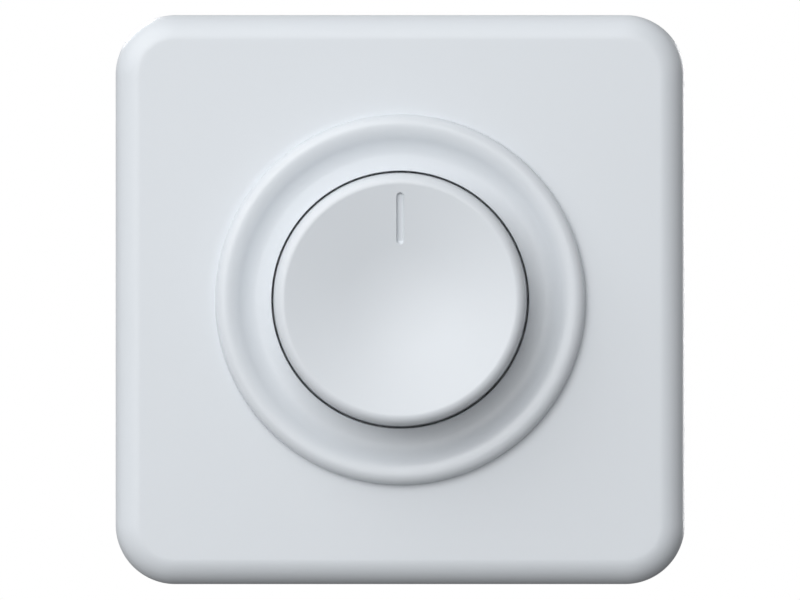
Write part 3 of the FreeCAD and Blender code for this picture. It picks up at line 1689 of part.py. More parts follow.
def check(body):
    for item in body.Group + [body]:
        if "Invalid" in item.State or "Error" in item.State:
            raise ValueError(f"{body.Label}: {item.Name}: {item.getStatusString()}")
        if item.TypeId in ("PartDesign::Pocket", "PartDesign::Groove"):
            if item.Shape.Volume >= item.BaseFeature.Shape.Volume:
                raise ValueError(f"{body.Label}: {item.Name} cuts nothing")
    if body.Shape.isNull() or not body.Shape.isValid():
        raise ValueError(f"{body.Label} has no valid shape")


def make_all():
    """Every sub-part, from the front to the back."""
    bodies = [cover_frame(), centre_dish(), knob(), knob_clip(), centre_nut()]
    bodies += [mounting_ring(), ring_rivets()]
    for hand, side in (("right", 1), ("left", -1)):
        bodies.append(claw(f"claw_{hand}", side))
        bodies.append(claw_screw(f"claw_screw_{hand}", side))
        bodies.append(claw_nut(f"claw_nut_{hand}", side))
    bodies += [housing_lid(), housing_base()]
    bodies += [bushing_plate(), shaft(), shaft_ring(), pot_housing(), pot_track(), pot_pins()]
    bodies += [wiper_rotor(), wiper_contact()]
    bodies += [circuit_board(), switch_housing(), switch_plunger(), contact_bridge()]
    bodies += [fixed_contacts(), switch_return_spring()]
    bodies += [heat_spreader(), insulating_pad(), triac(), triac_screw()]
    bodies += [choke_core(), choke_winding(), film_capacitor(), electrolytic_capacitor()]
    bodies += [varistor(), resistors(), controller_chip(), fuse(), fuse_clips()]
    bodies += [terminal_cages(), terminal_screws(), terminal_bars()]
    return bodies


os.makedirs("parts", exist_ok=True)
bodies = make_all()
document.recompute()
for body in bodies:
    check(body)
for body in bodies:
    body.Shape.exportStep(f"parts/{body.Label}.step")
    box = body.Shape.BoundBox
    print(body.Label, len(body.Shape.Solids), round(body.Shape.Volume, 1), box)
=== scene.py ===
"""The looks of a flush rotary dimmer switch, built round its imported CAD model.

Lengths are metres in the CAD frame: X to the right as seen from the room, Y into the wall and
Z up, with the origin on the knob's axis in the plane of the wall.
"""

import json
import logging
import math
from collections.abc import Callable, Sequence
from dataclasses import dataclass
from enum import Enum

import bmesh
import bpy
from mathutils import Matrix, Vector


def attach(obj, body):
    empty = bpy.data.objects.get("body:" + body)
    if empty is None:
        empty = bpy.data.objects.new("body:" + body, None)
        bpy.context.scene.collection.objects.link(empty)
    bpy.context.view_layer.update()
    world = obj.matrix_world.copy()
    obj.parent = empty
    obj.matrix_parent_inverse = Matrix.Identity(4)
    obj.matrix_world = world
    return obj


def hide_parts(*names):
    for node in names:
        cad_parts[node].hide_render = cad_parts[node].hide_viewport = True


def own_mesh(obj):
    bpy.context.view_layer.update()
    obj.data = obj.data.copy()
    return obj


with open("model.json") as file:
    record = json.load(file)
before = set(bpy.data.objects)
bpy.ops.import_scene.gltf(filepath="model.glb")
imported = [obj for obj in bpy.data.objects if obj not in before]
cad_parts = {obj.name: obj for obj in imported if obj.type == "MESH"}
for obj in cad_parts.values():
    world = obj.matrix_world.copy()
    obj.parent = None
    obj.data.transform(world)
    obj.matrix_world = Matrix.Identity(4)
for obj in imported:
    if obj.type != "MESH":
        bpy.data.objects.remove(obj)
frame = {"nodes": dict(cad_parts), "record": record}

LOG = logging.getLogger("dimmer")
MM = 0.001
FULL_TURN = 2 * math.pi

Colour = tuple[float, float, float]
Step = tuple[float, ...]


def paint(red: float, green: float, blue: float) -> Colour:
    """Turns screen levels from 0 to 255 into the linear colour that a shader takes.

    Args:
        red: Level of red.
        green: Level of green.
        blue: Level of blue.

    Returns:
        Red, green and blue.
    """

    def linear(level: float) -> float:
        """One channel, by the sRGB curve."""
        part = level / 255
        return part / 12.92 if part <= 0.04045 else ((part + 0.055) / 1.055) ** 2.4

    return linear(red), linear(green), linear(blue)


# Shaders

class Value:
    """A number socket of a shader. Arithmetic on it adds Math nodes."""

    def __init__(self, graph: "Graph", socket: bpy.types.NodeSocket) -> None:
        """Wraps a socket that belongs to the graph."""
        self.graph = graph
        self.socket = socket

    def _with(self, operation: str, first: "Value | float", second: "Value | float") -> "Value":
        """Adds the Math node of one operation."""
        return self.graph.node("ShaderNodeMath", {"operation": operation}, {0: first, 1: second})

    def __add__(self, other: "Value | float") -> "Value":
        """Sum."""
        return self._with("ADD", self, other)

    __radd__ = __add__

    def __sub__(self, other: "Value | float") -> "Value":
        """Difference."""
        return self._with("SUBTRACT", self, other)

    def __rsub__(self, other: float) -> "Value":
        """Difference from a plain number."""
        return self._with("SUBTRACT", other, self)

    def __mul__(self, other: "Value | float") -> "Value":
        """Product."""
        return self._with("MULTIPLY", self, other)

    __rmul__ = __mul__

    def __truediv__(self, other: "Value | float") -> "Value":
        """Quotient."""
        return self._with("DIVIDE", self, other)

    def __gt__(self, other: "Value | float") -> "Value":
        """One where this is larger, and nought elsewhere."""
        return self._with("GREATER_THAN", self, other)

    def __lt__(self, other: "Value | float") -> "Value":
        """One where this is smaller, and nought elsewhere."""
        return self._with("LESS_THAN", self, other)

    def __abs__(self) -> "Value":
        """Size without its sign."""
        return self._with("ABSOLUTE", self, 0.0)

    def sine(self) -> "Value":
        """Sine of an angle in radians."""
        return self._with("SINE", self, 0.0)

    def most(self, other: "Value | float") -> "Value":
        """The larger of the two."""
        return self._with("MAXIMUM", self, other)

    def least(self, other: "Value | float") -> "Value":
        """The smaller of the two."""
        return self._with("MINIMUM", self, other)


class Graph:
    """The nodes of one material or of the world."""

    def __init__(self, tree: bpy.types.NodeTree) -> None:
        """Starts with an empty tree."""
        tree.nodes.clear()
        self.tree = tree

    def node(self, kind: str, settings: dict | None = None, inputs: dict | None = None,
             output: int | str = 0) -> Value:
        """Adds a node.

        Args:
            kind: Type of the node.
            settings: Its properties, set first. "stops" holds a ramp's places and colours.
            inputs: Values or links of its sockets, by name or number.
            output: The socket that the caller wants.

        Returns:
            The chosen output.
        """
        made = self.tree.nodes.new(kind)
        for name, setting in (settings or {}).items():
            if name != "stops":
                setattr(made, name, setting)
                continue
            for index, (spot, colour) in enumerate(setting):
                stops = made.color_ramp.elements
                stop = stops[index] if index < 2 else stops.new(spot)
                stop.position = spot
                stop.color = (*colour, 1)
        for name, given in (inputs or {}).items():
            if isinstance(given, Value):
                self.tree.links.new(given.socket, made.inputs[name])
            else:
                made.inputs[name].default_value = given
        return Value(self, made.outputs[output])

    def place(self) -> Value:
        """The point on the object, in metres."""
        return self.node("ShaderNodeTexCoord", output="Object")

    def parts(self) -> tuple[Value, Value, Value]:
        """The X, Y and Z of the point on the object."""
        place = self.place()
        return tuple(self.node("ShaderNodeSeparateXYZ", None, {0: place}, axis) for axis in "XYZ")

    def noise(self, size: float, detail: float = 2, stretch: Colour = (1, 1, 1)) -> Value:
        """Cloudy noise round 0.5 whose patches are about the given size, in metres."""
        scaled = self.node("ShaderNodeMapping", None, {"Vector": self.place(), "Scale": stretch})
        return self.node("ShaderNodeTexNoise", None, {"Vector": scaled, "Scale": 1 / size, "Detail": detail})

    def mix(self, share: Value, first: Colour | Value, second: Colour | Value) -> Value:
        """A colour between two others."""
        colours = [given if isinstance(given, Value) else (*given, 1) for given in (first, second)]
        return self.node("ShaderNodeMix", {"data_type": "RGBA"}, {0: share, 6: colours[0], 7: colours[1]}, 2)

    def tone(self, colour: Colour, share: Value, spread: float) -> Value:
        """The colour, a little darker and lighter in patches."""
        low, high = (tuple(part * (1 + spread * side) for part in colour) for side in (-1, 1))
        return self.mix(share, low, high)

    def relief(self, height: Value, depth: float, edge: float) -> Value:
        """A normal from a height between 0 and 1, over edges rounded by a radius.

        Args:
            height: What rises and falls over the surface.
            depth: Distance between a height of 0 and of 1, in metres.
            edge: Radius of the rounding, in metres.

        Returns:
            The normal.
        """
        inputs = {"Height": height, "Distance": depth}
        if edge > 0:
            inputs["Normal"] = self.node("ShaderNodeBevel", {"samples": 6}, {"Radius": edge})
        return self.node("ShaderNodeBump", None, inputs)

    def surface(self, **inputs: "Value | float | Colour") -> Value:
        """A Principled shader. Its sockets are named with underscores for spaces.

        Args:
            inputs: Values of the sockets.

        Returns:
            The shader.
        """
        named = {name.replace("_", " "): given for name, given in inputs.items()}
        named["IOR"] = named.pop("IOR", 1.5)
        for name, given in named.items():
            if isinstance(given, tuple) and len(given) == 3 and "Color" in name:
                named[name] = (*given, 1)
        return self.node("ShaderNodeBsdfPrincipled", None, named)

    def either(self, share: Value, first: Value, second: Value) -> Value:
        """One shader where the share is nought and the other where it is one."""
        return self.node("ShaderNodeMixShader", None, {0: share, 1: first, 2: second})

    def close(self, shader: Value, kind: str = "ShaderNodeOutputMaterial") -> None:
        """Joins the shader to the tree's output."""
        made = self.tree.nodes.new(kind)
        self.tree.links.new(shader.socket, made.inputs["Surface"])


@dataclass(frozen=True)
class Finish:
    """What every finish has: a name, a colour and the rounding of its edges."""

    name: str
    colour: Colour
    edge: float = 0.15 * MM

    def shade(self, graph: Graph) -> Value:
        """Adds the finish's nodes and gives its shader."""
        raise NotImplementedError

    def material(self) -> bpy.types.Material:
        """The material that wears this finish.

        Returns:
            The new material.
        """
        made = bpy.data.materials.new(self.name)
        made.use_nodes = True
        graph = Graph(made.node_tree)
        graph.close(self.shade(graph))
        return made


@dataclass(frozen=True)
class Moulding(Finish):
    """Moulded plastic: faint flow clouds, a fine skin and the gloss that the tool left."""

    roughness: float = 0.3
    grain: float = 0.3 * MM
    depth: float = 0.6e-6
    clouds: float = 0.006
    swirl: float = 16 * MM

    def shade(self, graph: Graph) -> Value:
        """Clouds tint the colour, and the grain moves the gloss and the normal.

        Args:
            graph: The material's tree.

        Returns:
            The finish's shader.
        """
        cloud = graph.noise(self.swirl, 3)
        skin = graph.noise(self.grain, 2)
        return graph.surface(
            Base_Color=graph.tone(self.colour, cloud, self.clouds),
            Roughness=self.roughness + (skin - 0.5) * 0.06 + (cloud - 0.5) * 0.05,
            Normal=graph.relief(skin, self.depth, self.edge),
        )


@dataclass(frozen=True)
class Sheet(Finish):
    """Bare or plated metal with the streaks of rolling, turning or tumbling."""

    roughness: float = 0.3
    streak: Colour = (1, 1, 0.06)
    size: float = 0.25 * MM
    depth: float = 1.2e-6
    tarnish: Colour = (0.5, 0.5, 0.5)
    wear: float = 0.2
    patch: float = 4 * MM

    def shade(self, graph: Graph) -> Value:
        """Patches of tarnish, with streaks in the gloss and in the normal.

        Args:
            graph: The material's tree.

        Returns:
            The finish's shader.
        """
        streaks = graph.noise(self.size, 3, self.streak)
        patches = graph.noise(self.patch, 4)
        share = ((patches - 0.45) * 3).most(0.0).least(1.0) * self.wear
        return graph.surface(
            Base_Color=graph.mix(share, self.colour, self.tarnish),
            Metallic=1.0,
            Roughness=self.roughness + (streaks - 0.5) * 0.22 + (patches - 0.5) * 0.12,
            Normal=graph.relief(streaks, self.depth, self.edge),
        )


@dataclass(frozen=True)
class Stone(Finish):
    """A sintered or rubbery body: rough, with dark and pale specks."""

    roughness: float = 0.75
    speck: float = 0.12 * MM
    depth: float = 8e-6
    contrast: float = 0.35

    def shade(self, graph: Graph) -> Value:
        """Specks in the colour, with small pits.

        Args:
            graph: The material's tree.

        Returns:
            The finish's shader.
        """
        specks = graph.noise(self.speck, 4)
        return graph.surface(
            Base_Color=graph.tone(self.colour, specks, self.contrast),
            Roughness=self.roughness + (specks - 0.5) * 0.2,
            Normal=graph.relief(specks, self.depth, self.edge),
        )


@dataclass(frozen=True)
class Winding(Finish):
    """Lacquered copper wire wound side by side round a ring whose axis lies along Y."""

    middle: tuple[float, float] = (-10.0 * MM, 14.6 * MM)
    turns: int = 30

    def shade(self, graph: Graph) -> Value:
        """Each turn is a ridge, with painted shade in its colour where it meets the next.

        Args:
            graph: The material's tree.

        Returns:
            The finish's shader.
        """
        x, _, z = graph.parts()
        angle = graph.node("ShaderNodeMath", {"operation": "ARCTAN2"},
                           {0: x - self.middle[0], 1: z - self.middle[1]})
        ridge = abs((angle * (self.turns / 2)).sine())
        cloud = graph.noise(2 * MM, 3)
        return graph.surface(
            # Painted shade: the colour falls to three tenths of itself in the crease between turns.
            Base_Color=graph.mix(ridge, tuple(part * 0.3 for part in self.colour), self.colour),
            Metallic=1.0,
            Roughness=0.26 + cloud * 0.12,
            Coat_Weight=0.6,
            Coat_Roughness=0.12,
            Normal=graph.relief(ridge, 0.25 * MM, 0),
        )


@dataclass(frozen=True)
class Laminate(Finish):
    """A circuit board: lacquer over copper tracks on a woven base."""

    lift: Colour = (0.05, 0.3, 0.1)

    def shade(self, graph: Graph) -> Value:
        """Tracks show as paler, raised bands under the lacquer, over a faint weave.

        Args:
            graph: The material's tree.

        Returns:
            The finish's shader.
        """
        x, _, z = graph.parts()
        flat = graph.node("ShaderNodeCombineXYZ", None, {0: x, 1: z})
        tracks = graph.node("ShaderNodeTexBrick", {"offset": 0.35, "squash": 0.7},
                            {"Vector": flat, "Scale": 1.0, "Mortar Size": 0.45 * MM, "Mortar Smooth": 0.1,
                             "Brick Width": 4.6 * MM, "Row Height": 2.4 * MM}, "Fac")
        weave = (x * (FULL_TURN / (0.5 * MM))).sine() * (z * (FULL_TURN / (0.5 * MM))).sine()
        cloud = graph.noise(6 * MM, 3)
        return graph.surface(
            Base_Color=graph.mix(tracks * 0.8 + (cloud - 0.5) * 0.3, self.colour, self.lift),
            Roughness=0.32 + (cloud - 0.5) * 0.15,
            Coat_Weight=0.3,
            Normal=graph.relief(tracks + weave * 0.06, 0.04 * MM, self.edge),
        )


class Axis(Enum):
    """The direction that a border is measured along."""

    X = 0
    Y = 1
    Z = 2


@dataclass(frozen=True)
class Border:
    """Where a piece changes its finish: past a place along an axis, on one side or on both."""

    axis: Axis
    start: float
    middle: float = 0.0
    both: bool = False
    below: bool = False

    def share(self, graph: Graph) -> Value:
        """One beyond the border and nought before it.

        Args:
            graph: The material's tree.

        Returns:
            The share.
        """
        spot = graph.parts()[self.axis.value] - self.middle
        reach = abs(spot) if self.both else spot
        return reach < self.start if self.below else reach > self.start


@dataclass(frozen=True)
class Joined(Finish):
    """One finish on the body of a piece and another past one or more borders."""

    body: Finish | None = None
    other: Finish | None = None
    borders: tuple[Border, ...] = ()

    def shade(self, graph: Graph) -> Value:
        """Both shaders, mixed by the borders.

        Args:
            graph: The material's tree.

        Returns:
            The finish's shader.
        """
        share = self.borders[0].share(graph)
        for border in self.borders[1:]:
            share = share.most(border.share(graph))
        return graph.either(share, self.body.shade(graph), self.other.shade(graph))


@dataclass(frozen=True)
class Banded(Finish):
    """A lacquered resistor body with colour bands across X."""

    middle: float = -14.2 * MM
    bands: tuple[tuple[float, Colour], ...] = ()
    width: float = 0.45 * MM

    def shade(self, graph: Graph) -> Value:
        """Each band covers the lacquer below it.

        Args:
            graph: The material's tree.

        Returns:
            The finish's shader.
        """
        x = graph.parts()[0] - self.middle
        colour: Colour | Value = self.colour
        for spot, tint in self.bands:
            colour = graph.mix(abs(x - spot) < self.width / 2, colour, tint)
        skin = graph.noise(0.4 * MM, 2)
        return graph.surface(Base_Color=colour, Roughness=0.28 + skin * 0.12, Coat_Weight=0.4,
                             Normal=graph.relief(skin, 6e-6, 0.3 * MM))


@dataclass(frozen=True)
class Sleeve(Finish):
    """A shrunk sleeve on a can, with a pale stripe down one side and a bare metal end."""

    stripe: Colour = (0.6, 0.62, 0.66)
    middle: tuple[float, float] = (5.6 * MM, 15.8 * MM)
    half_width: float = 1.1 * MM

    def shade(self, graph: Graph) -> Value:
        """The stripe is chosen by place, and the sleeve has faint wrinkles.

        Args:
            graph: The material's tree.

        Returns:
            The finish's shader.
        """
        x, _, z = graph.parts()
        side = (abs(x - self.middle[0]) < self.half_width) * (z > self.middle[1])
        folds = graph.noise(0.8 * MM, 2, (1, 0.15, 1))
        return graph.surface(Base_Color=graph.mix(side, self.colour, self.stripe),
                             Roughness=0.3 + folds * 0.12, Normal=graph.relief(folds, 12e-6, self.edge))


@dataclass(frozen=True)
class Track(Finish):
    """A laminate disc with a printed carbon ring and silvered ends."""

    ring: tuple[float, float] = (4.2 * MM, 6.3 * MM)
    carbon: Colour = (0.012, 0.012, 0.013)

    def shade(self, graph: Graph) -> Value:
        """The ring is chosen by its distance from the axis.

        Args:
            graph: The material's tree.

        Returns:
            The finish's shader.
        """
        x, _, z = graph.parts()
        out = graph.node("ShaderNodeMath", {"operation": "POWER"}, {0: x * x + z * z, 1: 0.5})
        printed = (out > self.ring[0]) * (out < self.ring[1])
        silver = printed * (z < -self.ring[0]) * (abs(x) < self.ring[0])
        specks = graph.noise(0.15 * MM, 3)
        base = graph.mix(printed, graph.tone(self.colour, specks, 0.15), self.carbon)
        return graph.surface(Base_Color=graph.mix(silver, base, (0.55, 0.55, 0.53)),
                             Metallic=silver, Roughness=0.5 + specks * 0.2,
                             Normal=graph.relief(specks, 6e-6, self.edge))


@dataclass(frozen=True)
class Glass(Finish):
    """A clear glass tube."""

    def shade(self, graph: Graph) -> Value:
        """Clear, with a little unevenness in the drawn surface.

        Args:
            graph: The material's tree.

        Returns:
            The finish's shader.
        """
        pull = graph.noise(1.5 * MM, 2, (1, 1, 0.2))
        return graph.surface(Base_Color=self.colour, Transmission_Weight=1.0, Roughness=0.03 + pull * 0.03,
                             IOR=1.47, Normal=graph.relief(pull, 8e-6, 0))


WHITE = paint(213, 218, 223)
TIN = Sheet("tinned legs", paint(205, 205, 200), 0.05 * MM, roughness=0.32, tarnish=paint(150, 150, 145))

FINISHES: dict[str, Finish] = {
    "cover_white": Moulding("white cover plastic", WHITE, 0.2 * MM, roughness=0.34),
    "dish_white": Moulding("white centre plastic", WHITE, 0.2 * MM, roughness=0.3),
    "knob_white": Moulding("white knob plastic", WHITE, 0.12 * MM, roughness=0.32),
    "housing_grey": Moulding("light grey housing plastic", paint(206, 207, 205), 0.25 * MM, roughness=0.62,
                             grain=0.16 * MM, depth=9e-6, clouds=0.03),
    "zinc_steel": Sheet("zinc plated sheet", paint(196, 198, 201), 0.12 * MM, roughness=0.42,
                        tarnish=paint(176, 180, 186), wear=0.35),
    "spring_steel": Sheet("blued spring steel", paint(120, 124, 134), 0.1 * MM, roughness=0.3,
                          streak=(1, 0.1, 1), tarnish=paint(96, 88, 84), wear=0.6),
    "screw_steel": Sheet("plated screw steel", paint(206, 207, 208), 0.08 * MM, roughness=0.26,
                         streak=(1, 0.2, 1), size=0.12 * MM, tarnish=paint(168, 168, 164), wear=0.3),
    "brass": Sheet("bright brass", paint(226, 192, 116), 0.08 * MM, roughness=0.28,
                   tarnish=paint(178, 134, 74), wear=0.45),
    "nickel": Sheet("nickel plate", paint(216, 214, 206), 0.12 * MM, roughness=0.22, streak=(1, 0.3, 1),
                    tarnish=paint(186, 182, 170), wear=0.3),
    "dark_plastic": Moulding("black plastic", paint(44, 44, 46), 0.12 * MM, roughness=0.48,
                             grain=0.12 * MM, depth=6e-6, clouds=0.08),
    "board": Laminate("green circuit board", paint(34, 92, 52), 0.08 * MM, lift=paint(66, 138, 78)),
    "track_board": Track("printed track", paint(150, 98, 56), 0.08 * MM),
    "aluminium": Sheet("rolled aluminium", paint(222, 223, 224), 0.12 * MM, roughness=0.36,
                       tarnish=paint(196, 197, 198), wear=0.4),
    "pad_grey": Stone("grey silicone pad", paint(186, 188, 190), 0.05 * MM, roughness=0.6,
                      speck=0.1 * MM, depth=2e-6, contrast=0.06),
    "ferrite": Stone("sintered ferrite", paint(74, 74, 76), 0.2 * MM),
    "copper_wire": Winding("lacquered copper winding", paint(214, 128, 74)),
    "capacitor_box": Moulding("yellow capacitor box", paint(214, 170, 52), 0.3 * MM, roughness=0.36,
                              grain=0.25 * MM, depth=5e-6, clouds=0.05),
    "capacitor_can": Joined("capacitor can", paint(40, 46, 84), 0.1 * MM,
                            Sleeve("dark blue sleeve", paint(40, 46, 84)),
                            Sheet("can end", paint(210, 211, 213), 0.1 * MM, roughness=0.3),
                            (Border(Axis.Y, 20.85 * MM),)),
    "varistor_blue": Joined("varistor", paint(36, 82, 150), 0.2 * MM,
                            Stone("blue dipped coating", paint(36, 82, 150), 0.3 * MM, roughness=0.34,
                                  speck=1.4 * MM, depth=0.05 * MM, contrast=0.08),
                            TIN, (Border(Axis.Y, 10.75 * MM, below=True),)),
    "resistor_tan": Joined("resistors", paint(206, 172, 130), 0.1 * MM,
                           Banded("tan lacquer with bands", paint(206, 172, 130), bands=(
                               (-1.55 * MM, paint(110, 62, 30)), (-0.75 * MM, paint(26, 26, 26)),
                               (0.05 * MM, paint(226, 120, 40)), (1.45 * MM, paint(190, 156, 70)))),
                           TIN, (Border(Axis.X, 2.31 * MM, -14.2 * MM, both=True),
                                 Border(Axis.Y, 8.97 * MM))),
    "fuse_glass": Joined("fuse", paint(236, 244, 242), 0.08 * MM,
                         Glass("fuse glass", paint(236, 244, 242)),
                         Sheet("fuse caps", paint(214, 212, 204), 0.1 * MM, roughness=0.24),
                         (Border(Axis.Z, 5.5 * MM, both=True),)),
}

# Pieces of two finishes whose material slot is shared with plainer pieces
SPECIAL: dict[str, Finish] = {
    "triac": Joined("power switch", paint(44, 44, 46), 0.1 * MM, FINISHES["dark_plastic"], TIN,
                    (Border(Axis.Y, 4.6 * MM, below=True), Border(Axis.X, 13.21 * MM))),
    "controller_chip": Joined("control chip", paint(44, 44, 46), 0.1 * MM, FINISHES["dark_plastic"], TIN,
                              (Border(Axis.X, 1.91 * MM, 14.3 * MM, both=True),)),
}


# Modelling

class Round:
    """Points of a turned or bent outline, with arcs worked out between its corners."""

    def __init__(self, first: tuple[float, float]) -> None:
        """Starts at a point, in millimetres."""
        self.points = [first]

    def to(self, *points: tuple[float, float]) -> "Round":
        """Goes straight to each point in turn."""
        self.points.extend(points)
        return self

    def arc(self, end: tuple[float, float], radius: float, pieces: int) -> "Round":
        """Bends to a point by the shorter arc.

        Args:
            end: Where the arc ends.
            radius: Its radius, negative where it turns right.
            pieces: How many straight pieces stand for it.

        Returns:
            This outline.
        """
        start = Vector(self.points[-1])
        chord = Vector(end) - start
        rise = math.sqrt(max(radius * radius - chord.length_squared / 4, 0.0))
        left = Vector((-chord.y, chord.x)) / chord.length
        centre = start + chord / 2 + left * math.copysign(rise, radius)
        sweep = 2 * math.asin(min(chord.length / 2 / abs(radius), 1.0)) * math.copysign(1, radius)
        arm = start - centre
        for piece in range(1, pieces + 1):
            turn = sweep * piece / pieces
            across = arm.x * math.cos(turn) - arm.y * math.sin(turn)
            along = arm.x * math.sin(turn) + arm.y * math.cos(turn)
            self.points.append((centre.x + across, centre.y + along))
        return self


class Bench:
    """Work with Blender's own tools on one piece at a time."""

    @staticmethod
    def clear() -> None:
        """Leaves nothing selected and every object out of edit mode."""
        if bpy.context.object and bpy.context.object.mode != "OBJECT":
            bpy.ops.object.mode_set(mode="OBJECT")
        bpy.ops.object.select_all(action="DESELECT")

    @staticmethod
    def hold(piece: bpy.types.Object) -> None:
        """Makes the piece the only one that is selected and active.

        Args:
            piece: The piece worked on.
        """
        Bench.clear()
        piece.select_set(True)
        bpy.context.view_layer.objects.active = piece

    @staticmethod
    def edit(piece: bpy.types.Object, kind: str = "FACE") -> bmesh.types.BMesh:
        """Opens the piece in edit mode, with nothing on it selected.

        Args:
            piece: The piece worked on.
            kind: VERT, EDGE or FACE.

        Returns:
            Its open mesh.
        """
        Bench.hold(piece)
        bpy.ops.object.mode_set(mode="EDIT")
        bpy.ops.mesh.select_mode(type=kind)
        bpy.ops.mesh.select_all(action="DESELECT")
        return bmesh.from_edit_mesh(piece.data)

    @staticmethod
    def pick(mesh: bmesh.types.BMesh, kind: str, test: Callable[[Vector, Vector], bool]) -> None:
        """Selects the faces or edges that pass a test.

        Args:
            mesh: The piece that is open in edit mode.
            kind: "faces" or "edges".
            test: Gets a face's middle and normal, or the two ends of an edge.
        """
        for part in getattr(mesh, kind):
            if kind == "faces":
                chosen = test(part.calc_center_median(), part.normal)
            else:
                chosen = test(part.verts[0].co, part.verts[1].co)
            part.select_set(chosen)
        mesh.select_flush_mode()

    @staticmethod
    def done() -> None:
        """Goes back to object mode."""
        bpy.ops.object.mode_set(mode="OBJECT")

    @staticmethod
    def tidy(piece: bpy.types.Object, threshold: float = 1e-6) -> None:
        """Merges doubles and turns the faces outwards.

        Args:
            piece: The piece worked on.
            threshold: Distance within which points are one, in metres.
        """
        Bench.edit(piece)
        bpy.ops.mesh.select_all(action="SELECT")
        bpy.ops.mesh.remove_doubles(threshold=threshold)
        bpy.ops.mesh.normals_make_consistent(inside=False)
        Bench.done()

    @staticmethod
    def settle(piece: bpy.types.Object) -> None:
        """Puts the piece's place into its mesh."""
        Bench.hold(piece)
        bpy.ops.object.transform_apply(location=True, rotation=True, scale=True)

    @staticmethod
    def modify(piece: bpy.types.Object, kind: str, **settings: object) -> None:
        """Adds a modifier and applies it.

        Args:
            piece: The piece worked on.
            kind: The modifier's type.
            settings: The modifier's properties.
        """
        Bench.hold(piece)
        modifier = piece.modifiers.new(kind.lower(), kind)
        for name, setting in settings.items():
            setattr(modifier, name, setting)
        bpy.ops.object.modifier_apply(modifier=modifier.name)

    @staticmethod
    def join(first: bpy.types.Object, *others: bpy.types.Object) -> bpy.types.Object:
        """Joins meshes into the first one.

        Args:
            first: The mesh that takes the others in.
            others: The meshes that are used up.

        Returns:
            The first mesh.
        """
        Bench.hold(first)
        for other in others:
            other.select_set(True)
        bpy.ops.object.join()
        return first

    @staticmethod
    def combine(piece: bpy.types.Object, other: bpy.types.Object, operation: str) -> None:
        """Joins the other solid to the piece or cuts it away, and uses it up."""
        Bench.modify(piece, "BOOLEAN", operation=operation, object=other, solver="EXACT")
        bpy.data.objects.remove(other)

    @staticmethod
    def wire(name: str, points: Sequence[tuple[float, float]], closed: bool) -> bpy.types.Object:
        """Draws a line in the XY plane by extruding one point step by step.

        Args:
            name: Name of the new piece.
            points: The line's points, in millimetres.
            closed: Whether its end is joined to its start.

        Returns:
            The new piece, left in edit mode with its last point selected.
        """
        Bench.clear()
        bpy.ops.mesh.primitive_plane_add(size=MM, location=(0, 0, 0))
        piece = bpy.context.object
        piece.name = name
        bpy.ops.object.mode_set(mode="EDIT")
        bpy.ops.mesh.select_mode(type="VERT")
        bpy.ops.mesh.merge(type="CENTER")
        here = Vector((*points[0], 0)) * MM
        bpy.ops.transform.translate(value=here)
        for x, y in points[1:]:
            there = Vector((x, y, 0)) * MM
            bpy.ops.mesh.extrude_region_move(TRANSFORM_OT_translate={"value": there - here})
            here = there
        if closed:
            mesh = bmesh.from_edit_mesh(piece.data)
            ends = [vert for vert in mesh.verts if len(vert.link_edges) == 1]
            bpy.ops.mesh.select_all(action="DESELECT")
            for vert in ends:
                vert.select_set(True)
            bpy.ops.mesh.edge_face_add()
        return piece

    @staticmethod
    def lathe(name: str, outline: Round, steps: int, closed: bool = True) -> bpy.types.Object:
        """Turns an outline of radii and depths about the Y axis into a solid.

        Args:
            name: Name of the new piece.
            outline: Radius and depth of each point, in millimetres.
            steps: Number of steps of the full turn.
            closed: False where both ends of the outline lie on the axis.

        Returns:
            The new piece, closed and facing outwards.
        """
        piece = Bench.wire(name, outline.points, closed)
        bpy.ops.mesh.select_all(action="SELECT")
        bpy.ops.mesh.spin(steps=steps, angle=FULL_TURN, center=(0, 0, 0), axis=(0, 1, 0))
        Bench.done()
        Bench.tidy(piece)
        return piece

    @staticmethod
    def block(name: str, low: Step, high: Step) -> bpy.types.Object:
        """A tool block between two corners in millimetres, for joining or cutting.

        Args:
            name: Name of the new piece.
            low: The lowest corner.
            high: The highest corner.

        Returns:
            The block.
        """
        Bench.clear()
        size = [(b - a) * MM for a, b in zip(low, high)]
        spot = [(a + b) / 2 * MM for a, b in zip(low, high)]
        bpy.ops.mesh.primitive_cube_add(size=1, location=spot, scale=size)
        piece = bpy.context.object
        piece.name = name
        Bench.settle(piece)
        return piece

    @staticmethod
    def rod(name: str, radius: float, middle: tuple[float, float], depths: tuple[float, float],
            sides: int = 48) -> bpy.types.Object:
        """A tool rod along Y, in millimetres, for joining or cutting.

        Args:
            name: Name of the new piece.
            radius: The rod's radius.
            middle: Its axis, across and up.
            depths: Where it starts and ends along Y.
            sides: Number of its sides.

        Returns:
            The rod.
        """
        Bench.clear()
        spot = (middle[0] * MM, sum(depths) / 2 * MM, middle[1] * MM)
        bpy.ops.mesh.primitive_cylinder_add(vertices=sides, radius=radius * MM, location=spot,
                                            depth=abs(depths[1] - depths[0]) * MM,
                                            rotation=(math.pi / 2, 0, 0))
        piece = bpy.context.object
        piece.name = name
        Bench.settle(piece)
        return piece

    @staticmethod
    def around(piece: bpy.types.Object, count: int) -> bpy.types.Object:
        """Copies a piece round the Y axis in equal steps and joins the copies to it.

        Args:
            piece: The piece worked on.
            count: Number of places.

        Returns:
            The piece, with all its copies.
        """
        copies = [Bench.turned(piece, f"{piece.name}_{index}", FULL_TURN * index / count)
                  for index in range(1, count)]
        return Bench.join(piece, *copies)

